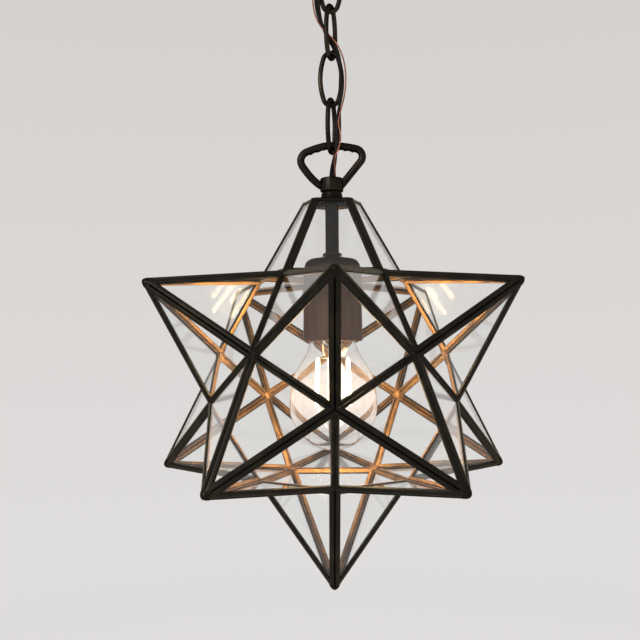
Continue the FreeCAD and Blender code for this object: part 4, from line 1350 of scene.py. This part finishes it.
    def rim_came(self) -> Shape:
        """The short came along the rim of the cut-off point.

        Returns:
            The shape.
        """
        deep, half = self.half_deep, self.rim_wide / 2.0
        section = softened(
            [(0.0, -deep), (half, -deep), (self.rim_wide, -deep), (self.rim_wide, deep),
             (half, deep), (0.0, deep)],
            (self.inner_round, self.crease, self.inner_round, self.outer_round, self.crease,
             self.outer_round), self.corner_steps)
        top = self.level(self.rim, deep)
        inset = self.ridge_wide - self.rim_tuck
        corners = [self.spot(side * self.ridge_at(inset, top - drop), top - drop, w)
                   for side in (1.0, -1.0) for drop, w in section]
        return corners, ring_faces(2, len(section), False, True)

    def cames(self) -> list[Shape]:
        """The cames of the pane.

        Returns:
            The right ridge's, the left ridge's, the valley's and the rim's, if there is one.
        """
        found = [self.ridge_came(1.0), self.ridge_came(-1.0), self.valley_came()]
        if self.rim is not None:
            found.append(self.rim_came())
        return found

    def glass(self) -> Shape:
        """The pane of the cut-off point.

        Returns:
            The shape.
        """
        seat = self.glass_seat
        low, high = self.valley_wide - seat, self.level(self.rim, 0.0) - self.rim_wide + seat
        right = [(self.ridge_at(self.ridge_wide - seat, v), v) for v in (low, high)]
        flat = right + [(-u, v) for u, v in reversed(right)]
        corners = [self.spot(u, v, w) for w in (-self.glass_half, self.glass_half)
                   for u, v in flat]
        return corners, ring_faces(2, len(flat), False, True)


@dataclass
class Point:
    """Where one point of the star stands, and the body that it rides on."""

    name: str
    lean: float
    azimuth: float
    spin: float
    body: Body = Body.STAR

    def side(self, number: float) -> Matrix:
        """From the frame of a pane to the row frame.

        Args:
            number: Number of the pane, or -0.5 for the corner before the first one.

        Returns:
            The matrix.
        """
        turn = Matrix.Rotation(self.azimuth, 4, "Z") @ Matrix.Rotation(self.lean, 4, "Y")
        return (Matrix.Translation(STAR_CENTRE) @ turn
                @ Matrix.Rotation(self.spin + FIFTH * (number + 0.5), 4, "Z"))


@dataclass
class Tip:
    """Rounded solder over the ends of the ridge cames of a point, with its axis on +Z.

    It starts tucked into the cames, as a share of their reach, stands proud of them up to its
    shoulder, and is a dome from there to its end. The seam is a dip along each ridge.
    """

    start: float = 0.1500
    end: float = 0.1556
    shoulder: float = 0.1524
    apex: float = 0.155
    flare: float = 0.6971
    cover: float = 0.00237
    crowding: float = 0.8
    dome: float = 2.6
    tucked: float = 0.9
    tucked_to: float = 0.0008
    proud: float = 1.01
    blunt: float = 0.955
    top_form: float = 0.9
    seam: float = 0.0006
    seam_wide: float = 0.0005
    seam_fade: float = 2.2
    least: float = 0.00004
    rings: int = 22
    sides: int = 60

    def reach(self, turn: float, height: float) -> float:
        """How far the solder is from the point's axis.

        Args:
            turn: Azimuth from a ridge.
            height: Distance from the star's centre.

        Returns:
            The distance.
        """
        share = max(0.0, (height - self.shoulder) / (self.end - self.shoulder))
        ridge = (self.apex - height) * self.flare + self.cover
        ridge *= math.sqrt(max(0.0, 1.0 - share ** self.dome))
        under = self.tucked if height < self.shoulder - self.tucked_to else self.proud
        off, flat = five_sided(turn)
        form = min(flat, self.blunt) * (1.0 - share) + self.top_form * share
        dip = self.seam * math.exp(-(off * ridge / self.seam_wide) ** 2)
        dip *= max(0.0, 1.0 - self.seam_fade * share)
        return max(self.least, ridge * under * form - dip)

    def shape(self) -> Shape:
        """The tip, with one of its ridges at azimuth 0.

        Returns:
            The shape.
        """
        corners = []
        for ring in range(self.rings):
            share = (ring / (self.rings - 1)) ** self.crowding
            height = self.start + (self.end - self.start) * share
            for side in range(self.sides):
                turn = math.tau * side / self.sides
                corners.append(polar(self.reach(turn, height), turn, height))
        return corners, ring_faces(self.rings, self.sides, False, True)


@dataclass
class Star:
    """Glazed star: domed cames, panes, and solder at the joints and tips."""

    core: float = 0.093
    top_apex: float = 0.1637
    crown: float = 0.130
    door_gap: float = 0.0004
    closed_gap: float = 0.00005
    came_smooth: float = 0.9
    tip_smooth: float = 1.0
    inner_faces: float = -0.93
    solder_wide: float = 0.0052
    solder_deep: float = 0.0006
    solder_high: float = 0.0023
    inner_wide: float = 0.66
    inner_deep: float = 0.0021
    inner_high: float = 0.0009
    inner_seed: int = 40
    uneven: Span = (0.1, 0.07)
    lump_rings: int = 7
    lump_sides: int = 24
    lump_open: float = 0.5
    neighbours: float = 0.4
    points: list[Point] = field(init=False)

    def __post_init__(self) -> None:
        """Places the twelve points."""
        self.points = [Point("top", 0.0, math.pi / 2.0, 0.0)]
        self.points += [Point(name, RING_ANGLE, FIFTH * number - math.pi / 2.0, 0.0)
                        for number, name in enumerate(UPPER_POINTS)]
        self.points += [Point(name, math.pi - RING_ANGLE,
                              FIFTH * (number - 0.5) - math.pi / 2.0, math.pi,
                              Body.POINT if name == "hinged" else Body.STAR)
                        for number, name in enumerate(LOWER_POINTS)]
        self.points.append(Point("bottom", math.pi, math.pi / 2.0, 0.0))

    def panes(self, point: Point) -> list[Pane]:
        """The five panes of a point.

        Args:
            point: The point.

        Returns:
            The panes. The point that opens has a slit along each valley but the left one.
        """
        if point.name == "top":
            return [Pane(apex=self.top_apex, rim=self.crown)] * POINT_SIDES
        if point.name != "hinged":
            return [Pane()] * POINT_SIDES
        out = Pane().out
        across = [(point.side(number).to_3x3() @ out).x for number in range(POINT_SIDES)]
        tight = across.index(min(across))
        return [Pane(gap=self.closed_gap if number == tight else self.door_gap)
                for number in range(POINT_SIDES)]

    def cames(self, point: Point, finishes: Finishes) -> None:
        """Builds a point's cames: dark outside, brass on the faces that look at the lamp.

        Args:
            point: The point.
            finishes: The materials.
        """
        shapes: list[Shape] = []
        outs: list[Vector] = []
        for number, pane in enumerate(self.panes(point)):
            place = point.side(number)
            cames = pane.cames()
            shapes += [moved(came, place) for came in cames]
            outs += [place.to_3x3() @ pane.out] * len(cames)
        item = piece(point.name + "_came_frame", joined(shapes), finishes.patina,
                     point.body, point.name + "_cames", self.came_smooth)
        item.data.materials.append(finishes.came_brass)
        faces = len(item.data.polygons) // len(shapes)
        for face in item.data.polygons:
            if face.normal.dot(outs[face.index // faces]) < self.inner_faces:
                face.material_index = 1

    def top_panes(self, point: Point, finishes: Finishes) -> None:
        """Builds the panes of the cut-off point.

        Args:
            point: The point.
            finishes: The materials.
        """
        panes = [moved(pane.glass(), point.side(number))
                 for number, pane in enumerate(self.panes(point))]
        piece("top_panes", joined(panes), finishes.pane, point.body, "top_glass",
              None)

    def corners(self) -> list[tuple[Vector, tuple[Point, ...]]]:
        """The corners where three points meet.

        Returns:
            The direction of each from the star's centre, with its three points.
        """
        found = []
        for three in combinations(self.points, 3):
            axes = [direction(point.lean, point.azimuth) for point in three]
            if all(one.dot(two) > self.neighbours for one, two in combinations(axes, 2)):
                found.append(((axes[0] + axes[1] + axes[2]).normalized(), three))
        return found

    def lump(self, middle: Vector, out: Vector, wide: float, high: float, seed: int) -> Shape:
        """A flat uneven drop of solder on a corner.

        Args:
            middle: Middle of its foot.
            out: The way that it faces.
            wide: Radius of its foot.
            high: Its height.
            seed: Seed of its own unevenness.

        Returns:
            The shape.
        """
        random.seed(seed)
        phases = [random.uniform(0, math.tau) for _ in self.uneven]
        one = out.orthogonal().normalized()
        two = out.cross(one)
        corners = []
        for ring in range(self.lump_rings):
            lean = math.pi / 2 * ring / (self.lump_rings - self.lump_open)
            for side in range(self.lump_sides):
                turn = math.tau * side / self.lump_sides
                swell = 1.0 + sum(
                    size * math.sin(waves * turn + phase)
                    for waves, (size, phase) in enumerate(zip(self.uneven, phases), start=2))
                reach = wide * swell * math.cos(lean)
                corners.append(middle + (one * math.cos(turn) + two * math.sin(turn)) * reach
                               + out * high * math.sin(lean))
        return corners, ring_faces(self.lump_rings, self.lump_sides, False, True)

    def solder(self, finishes: Finishes) -> None:
        """Solder on both sides of each corner that the point that opens doesn't touch.

        Args:
            finishes: The materials.
        """
        outside, inside = [], []
        for number, (out, points) in enumerate(self.corners()):
            if any(point.body is Body.POINT for point in points):
                continue
            outside.append(self.lump(STAR_CENTRE + out * (self.core - self.solder_deep), out,
                                     self.solder_wide, self.solder_high, number))
            inside.append(self.lump(STAR_CENTRE + out * (self.core - self.inner_deep), -out,
                                    self.solder_wide * self.inner_wide, self.inner_high,
                                    number + self.inner_seed))
        piece("corner_solder", joined(outside), finishes.solder, Body.STAR)
        piece("inner_solder", joined(inside), finishes.came_brass, Body.STAR)

    def tips(self, finishes: Finishes) -> None:
        """The solder tips of the eleven whole points.

        Args:
            finishes: The materials.
        """
        tip = Tip().shape()
        for body, node in ((Body.STAR, "solder_tips"), (Body.POINT, "hinged_tip")):
            tips = [moved(tip, point.side(-0.5)) for point in self.points[1:]
                    if point.body is body]
            piece(node + "_rounded", joined(tips), finishes.solder, body, node,
                  self.tip_smooth)

    def build(self, finishes: Finishes) -> None:
        """Builds and dresses the star.

        Args:
            finishes: The materials.
        """
        for point in self.points:
            self.cames(point, finishes)
            if point.name == "top":
                self.top_panes(point, finishes)
        self.solder(finishes)
        self.tips(finishes)
        dress(finishes.pane, *GLASS_NODES)
        dress(finishes.bronze, "hinge_fixed_leaves", "hinge_moving_leaf")
        dress(finishes.steel, "hinge_pin")
        log.info("star: %d points", len(self.points))


@dataclass
class Crown:
    """What closes the cut-off top point: a plate under two rings, with a nut and a tube."""

    level: float = -0.2403
    thick: float = 0.0022
    corner: float = 0.0188
    chamfer: float = 0.0008
    hole: float = 0.0050
    hub_foot: float = -0.2336
    plate_sides: int = 60
    plate_smooth: float = 0.5
    rings_soft: float = 0.0004
    rings_outline: tuple[Span, ...] = (
        (0.0050, 0.0), (0.0090, 0.0), (0.0092, 0.0012), (0.0080, 0.0022), (0.0083, 0.0025),
        (0.0084, 0.0033), (0.0074, 0.0039), (0.0078, 0.0044), (0.0078, 0.0055),
        (0.0072, 0.0058), (0.0050, 0.0058))

    def plate(self) -> Shape:
        """The five-sided plate, with a hole for the tube.

        Returns:
            The shape.
        """
        outside = ((-self.thick, 0.0), (-self.chamfer, 0.0), (0.0, self.chamfer))
        sides = self.plate_sides
        turns = [math.tau * side / sides for side in range(sides)]
        corners = [polar((self.corner - inset) * five_sided(turn - math.pi / 2)[1], turn, height)
                   for height, inset in outside for turn in turns]
        corners += [polar(self.hole, turn, height) for height in (0.0, -self.thick)
                    for turn in turns]
        return corners, ring_faces(len(outside) + 2, sides, True, False)

    def build(self, finishes: Finishes) -> None:
        """Builds the plate, the rings and the loop, and dresses the nut and the tube.

        Args:
            finishes: The materials.
        """
        piece("crown_plate", lowered(self.plate(), self.level), finishes.stalk,
              Body.STAR, "cap_plate", self.plate_smooth)
        rings = turned(softened(list(self.rings_outline), self.rings_soft))
        piece("star_rings", lowered(rings, self.level), finishes.bronze, Body.STAR,
              "star_collar")
        dress(finishes.stalk, "crown_nut", "stem_tube", "socket_nut")
        piece("star_loop_cast", lowered(Loop().shape(), self.hub_foot), finishes.bronze,
              Body.STAR, "star_loop")
        log.info("crown: plate, rings and loop")


# ---------------------------------------------------------------------------------------------
# Socket and lamp
# ---------------------------------------------------------------------------------------------
@dataclass
class Socket:
    """Spun cup over the socket."""

    top: float = 0.0872
    high: float = 0.0602
    top_radius: float = 0.0206
    low_radius: float = 0.0216
    shoulder: float = 0.0065
    wall: float = 0.0010
    bead: float = 0.0005
    hole: float = 0.0050
    steps: int = 10
    sides: int = 96

    def cup(self) -> Shape:
        """The cup.

        Returns:
            The shape, from the star's centre.
        """
        top, low = self.top, self.top - self.high
        under, side = top - self.wall, top - self.shoulder
        flat = self.top_radius - self.shoulder
        bend = self.shoulder * (1.0 - math.sqrt(0.5))
        inner = bend + self.wall * math.sqrt(0.5)
        outline = [(self.hole, top), (self.hole, under), (flat, under)]
        outline += bow((flat, under), (self.top_radius - inner, top - inner),
                       (self.top_radius - self.wall, side), self.steps)
        outline += [(self.low_radius - self.wall, low + self.bead),
                    (self.low_radius - self.bead, low), (self.low_radius, low + self.bead),
                    (self.top_radius, side)]
        outline += bow((self.top_radius, side), (self.top_radius - bend, top - bend),
                       (flat, top), self.steps)
        return turned(outline, self.sides)

    def build(self, finishes: Finishes) -> None:
        """Builds the cup and dresses what is in it.

        Args:
            finishes: The materials.
        """
        piece("socket_cup_spun", lowered(self.cup(), STAR_CENTRE.z), finishes.cup,
              Body.STAR, "socket_cup")
        dress(finishes.cup, "socket_washer")
        dress(finishes.core, "socket_core")
        dress(finishes.brass, "screw_shell")
        log.info("socket: cup")


@dataclass
class Lamp:
    """Clear lamp with four light strips on a glass stem; heights are from the star's centre.

    waist, slope and nape are points of the bulb's side, each as shares of the radius and of the
    height between the points that it is between.
    """

    radius: float = 0.0319
    wide_at: float = -0.0165
    low: float = -0.0530
    neck: float = 0.0159
    neck_at: float = 0.035
    fold: float = 0.005
    wall: float = 0.0008
    axis_gap: float = 0.00005
    waist: Span = (0.32, 0.62)
    slope: Span = (0.955, 0.36)
    nape: Span = (0.405, 0.46)
    nose_steps: int = 28
    slope_steps: int = 22
    nape_steps: int = 12
    glass_sides: int = 96
    base: float = 0.0130
    base_high: float = 0.021
    base_end: float = 0.0095
    base_plain: float = 0.002
    base_taper: float = 0.003
    pitch: float = 0.0036
    thread_deep: float = 0.00055
    thread_rings: int = 64
    thread_sides: int = 60
    strip: float = 0.0015
    strip_tip: float = 0.6
    strip_steps: int = 12
    strip_sides: int = 12
    strip_long: float = 0.036
    strip_ring: float = 0.0125
    strip_lean: float = 2.5
    strip_low: float = -0.0215
    strip_turn: float = 12.0
    wire: float = 0.0004
    wire_sides: int = 8
    arm_from: float = 0.00288
    stem_tip_at: float = 0.004

    def nose(self, radius: float, low: float) -> Span:
        """A point of the arc from the lowest point to the widest one.

        Args:
            radius: Radius at the widest point.
            low: Height of the lowest point.

        Returns:
            The point.
        """
        rise = self.wide_at - low
        ball = (radius * radius + rise * rise) / (rise * 2.0)
        return ball * math.sqrt(0.5), low + ball * (1.0 - math.sqrt(0.5))

    def nose_arc(self, wall: float) -> Outline:
        """The round end of the bulb, from the axis to the widest point.

        Args:
            wall: How far inside the bulb's surface.

        Returns:
            Its points.
        """
        rad, low = self.radius - wall, self.low + wall
        return [(self.axis_gap, low), *bow((0.0, low), self.nose(rad, low), (rad, self.wide_at),
                                           self.nose_steps)]

    def bulb(self) -> Shape:
        """The blown bulb.

        Returns:
            The shape.
        """
        rad, neck, wide = self.radius, self.neck, self.wide_at
        fold_at = self.neck_at - self.fold
        waist = (neck + (rad - neck) * self.waist[0],
                 wide + (self.neck_at - wide) * self.waist[1])
        slope = (rad * self.slope[0], wide + (waist[1] - wide) * self.slope[1])
        nape = (neck + (waist[0] - neck) * self.nape[0],
                waist[1] + (fold_at - waist[1]) * self.nape[1])
        side = bow((rad, wide), slope, waist, self.slope_steps)
        side += bow(waist, nape, (neck, fold_at), self.nape_steps) + [(self.base, self.neck_at)]
        back = [(radius - self.wall, height) for radius, height in reversed(side)]
        return turned(self.nose_arc(0.0) + side + back + self.nose_arc(self.wall)[::-1],
                      self.glass_sides)

    def thread(self) -> Shape:
        """The screw base, with its rolled thread.

        Returns:
            The shape, from the height of the neck.
        """
        corners = []
        taper_at = self.base_high - self.base_taper
        for ring in range(self.thread_rings + 1):
            height = self.base_high * ring / self.thread_rings
            taper = (height - taper_at) / self.base_taper
            for side in range(self.thread_sides):
                share = side / self.thread_sides
                turns = height / self.pitch - share
                radius = self.base - self.thread_deep * (1.0 - math.cos(math.tau * turns)) / 2.0
                if taper > 0.0:
                    radius = min(radius, self.base + (self.base_end - self.base) * taper)
                if height < self.base_plain:
                    radius = self.base
                corners.append(polar(radius, math.tau * share, height))
        return corners, ring_faces(self.thread_rings + 1, self.thread_sides, False, False)

    def strip_line(self) -> tuple[Vector, Vector]:
        """Lower and upper end of a light strip at azimuth 0.

        Returns:
            The two ends.
        """
        lean = math.radians(self.strip_lean)
        low = Vector((self.strip_ring, 0, self.strip_low))
        return low, low + direction(-lean, 0.0) * self.strip_long

    def around(self, shape: Shape) -> Shape:
        """Four copies of a shape round the lamp's axis."""
        return joined([lowered(shape, 0.0, math.radians(90.0 * quarter + self.strip_turn))
                       for quarter in range(4)])

    def strips(self) -> Shape:
        """The light strips with rounded ends.

        Returns:
            The shape.
        """
        low, high = self.strip_line()
        line = [low.lerp(high, step / self.strip_steps) for step in range(self.strip_steps + 1)]
        radii = [self.strip] * len(line)
        radii[0] = radii[-1] = self.strip * self.strip_tip
        return self.around(swept(line, radii, self.strip_sides))

    def wires(self) -> Shape:
        """The wires that hold the light strips: one down the middle, and arms at both ends.

        Returns:
            The shape.
        """
        low, high = self.strip_line()
        foot = Vector((0, 0, low.z - self.wire))
        shoulder = Vector((self.arm_from, 0, high.z))
        top = Vector((0, 0, self.stem_tip_at))
        foot_arm, top_arm, spine = (swept(list(ends), self.wire, self.wire_sides)
                                    for ends in ((foot, low), (shoulder, high), (foot, top)))
        return joined([self.around(joined([foot_arm, top_arm])), spine])

    def build(self, finishes: Finishes) -> None:
        """Builds the lamp.

        Args:
            finishes: The materials.
        """
        centre = STAR_CENTRE.z
        for name, shape, height, material, slot, node in (
                ("bulb_blown", self.bulb(), centre, finishes.bulb, "bulb_glass", "bulb_glass"),
                ("base_screw", self.thread(), centre + self.neck_at, finishes.nickel,
                 "base_metal", "lamp_base"),
                ("lit_strips", self.strips(), centre, finishes.glow, "strip_phosphor",
                 "light_strips"),
                ("strip_holder", self.wires(), centre, finishes.nickel, "strip_wire",
                 "strip_wires")):
            piece(name, lowered(shape, height), material, Body.LAMP, node)
        dress(finishes.stem, "lamp_stem")
        dress(finishes.insulator, "lamp_insulator")
        dress(finishes.nickel, "lamp_contact")
        log.info("lamp: bulb, base, strips and wires")


# ---------------------------------------------------------------------------------------------
# Stage
# ---------------------------------------------------------------------------------------------
@dataclass(frozen=True)
class SoftLight:
    """A soft square lamp that faces the star.

    Its size is its side in metres, its power is in watts, and mirrored says whether glossy
    surfaces show it.
    """

    name: str
    at: Spot
    size: float
    power: float
    mirrored: bool = False
    tone: Spot = (1.0, 0.98, 0.95)

    def build(self) -> None:
        """Sets the lamp up."""
        data = bpy.data.lights.new(self.name, "AREA")
        data.size = self.size
        data.energy = self.power
        data.color = self.tone
        item = bpy.data.objects.new(self.name, data)
        item.location = self.at
        item.rotation_euler = (STAR_CENTRE - Vector(self.at)).to_track_quat("-Z", "Y").to_euler()
        item.visible_transmission = False
        item.visible_glossy = self.mirrored
        bpy.context.scene.collection.objects.link(item)


@dataclass
class Stage:
    """Camera, sky, lights and a pale floor far below."""

    image: int = 640
    sensor: float = 36.0
    near: float = 0.02
    focal_px: float = 889.0
    camera_at: Spot = (-0.00695, -0.6566, -0.34859)
    yaw: float = 0.00375
    pitch: float = 0.03103
    roll: float = -0.00701
    floor_z: float = -1.15
    floor_radius: float = 3.2
    floor_fade: Span = (0.35, 0.98)
    floor_sides: int = 96
    floor_tone: Spot = (0.78, 0.77, 0.765)
    floor_shown: float = 0.7
    sky_high: Spot = (0.655, 0.630, 0.612)
    sky_low: Spot = (0.760, 0.745, 0.738)
    sky_span: Span = (-0.30, 0.40)
    sky_light: Spot = (0.78, 0.77, 0.76)
    sky_power: float = 0.75
    lights: tuple[SoftLight, ...] = (
        SoftLight("key", at=(-1.3, -1.5, 0.6), size=1.1, power=22.0, mirrored=True),
        SoftLight("fill", at=(1.6, -1.0, 0.1), size=1.3, power=12.0),
        SoftLight("back", at=(0.3, 1.7, 0.5), size=1.4, power=14.0))

    def camera(self) -> None:
        """The photograph's view."""
        data = bpy.data.cameras.new("photo_camera")
        data.sensor_width = self.sensor
        data.lens = self.focal_px / self.image * data.sensor_width
        data.clip_start = self.near
        item = bpy.data.objects.new("photo_camera", data)
        item.matrix_world = (Matrix.Translation(self.camera_at)
                             @ Matrix.Rotation(self.yaw, 4, "Z")
                             @ Matrix.Rotation(math.pi / 2 + self.pitch, 4, "X")
                             @ Matrix.Rotation(self.roll, 4, "Z"))
        bpy.context.scene.collection.objects.link(item)
        bpy.context.scene.camera = item

    def sky(self) -> None:
        """A pale backdrop for what is seen, and even light for what is lit."""
        graph = Graph("studio", sky=True)
        place = graph.add("TexCoord").outputs["Generated"]
        high = graph.add("SeparateXYZ", Vector=place).outputs["Z"]
        tone = graph.blend(graph.ramp(high, *self.sky_span, kind="LINEAR"), self.sky_low,
                           self.sky_high)
        lit = graph.add("Background", Color=(*self.sky_light, 1.0), Strength=self.sky_power)
        shown = graph.add("Background", Color=tone)
        bpy.context.scene.world = graph.finish(graph.mixed(graph.seen(), lit, shown))

    def floor(self) -> None:
        """A pale floor that fades out at its rim."""
        graph = Graph("pale_floor")
        away = graph.add("VectorMath", Vector=graph.add("TexCoord").outputs["Object"])
        away.operation = "LENGTH"
        start, end = (self.floor_radius * share for share in self.floor_fade)
        rim = graph.ramp(away.outputs["Value"], start, end)
        matt = graph.add("BsdfDiffuse", Color=(*self.floor_tone, 1.0))
        shown = graph.add("Emission", Color=(*self.sky_low, 1.0))
        share = graph.math("MULTIPLY", graph.seen(), self.floor_shown)
        face = graph.mixed(share, matt, shown)
        faded = graph.mixed(rim, face, graph.add("BsdfTransparent"))
        sides = self.floor_sides
        corners = [polar(self.floor_radius, math.tau * side / sides, 0.0)
                   for side in range(sides)]
        mesh = bpy.data.meshes.new("floor")
        mesh.from_pydata([tuple(corner) for corner in corners], [], [tuple(range(sides))])
        mesh.materials.append(graph.finish(faded))
        item = bpy.data.objects.new("floor", mesh)
        item.location = (0, 0, self.floor_z)
        bpy.context.scene.collection.objects.link(item)

    def build(self) -> None:
        """Builds the stage."""
        self.camera()
        self.sky()
        self.floor()
        for light in self.lights:
            light.build()
        bpy.context.scene.view_settings.view_transform = "Standard"
        log.info("stage: camera, sky, floor and %d lamps", len(self.lights))


def main() -> None:
    """Builds every piece in order."""
    logging.basicConfig(level=logging.INFO, format="%(name)s: %(message)s")
    Stage().build()
    finishes = Finishes()
    for part in (Wiring(), Chain(), Ceiling(), Star(), Crown(), Socket(), Lamp()):
        part.build(finishes)
    bpy.context.view_layer.update()


if __name__ == "__main__":
    main()
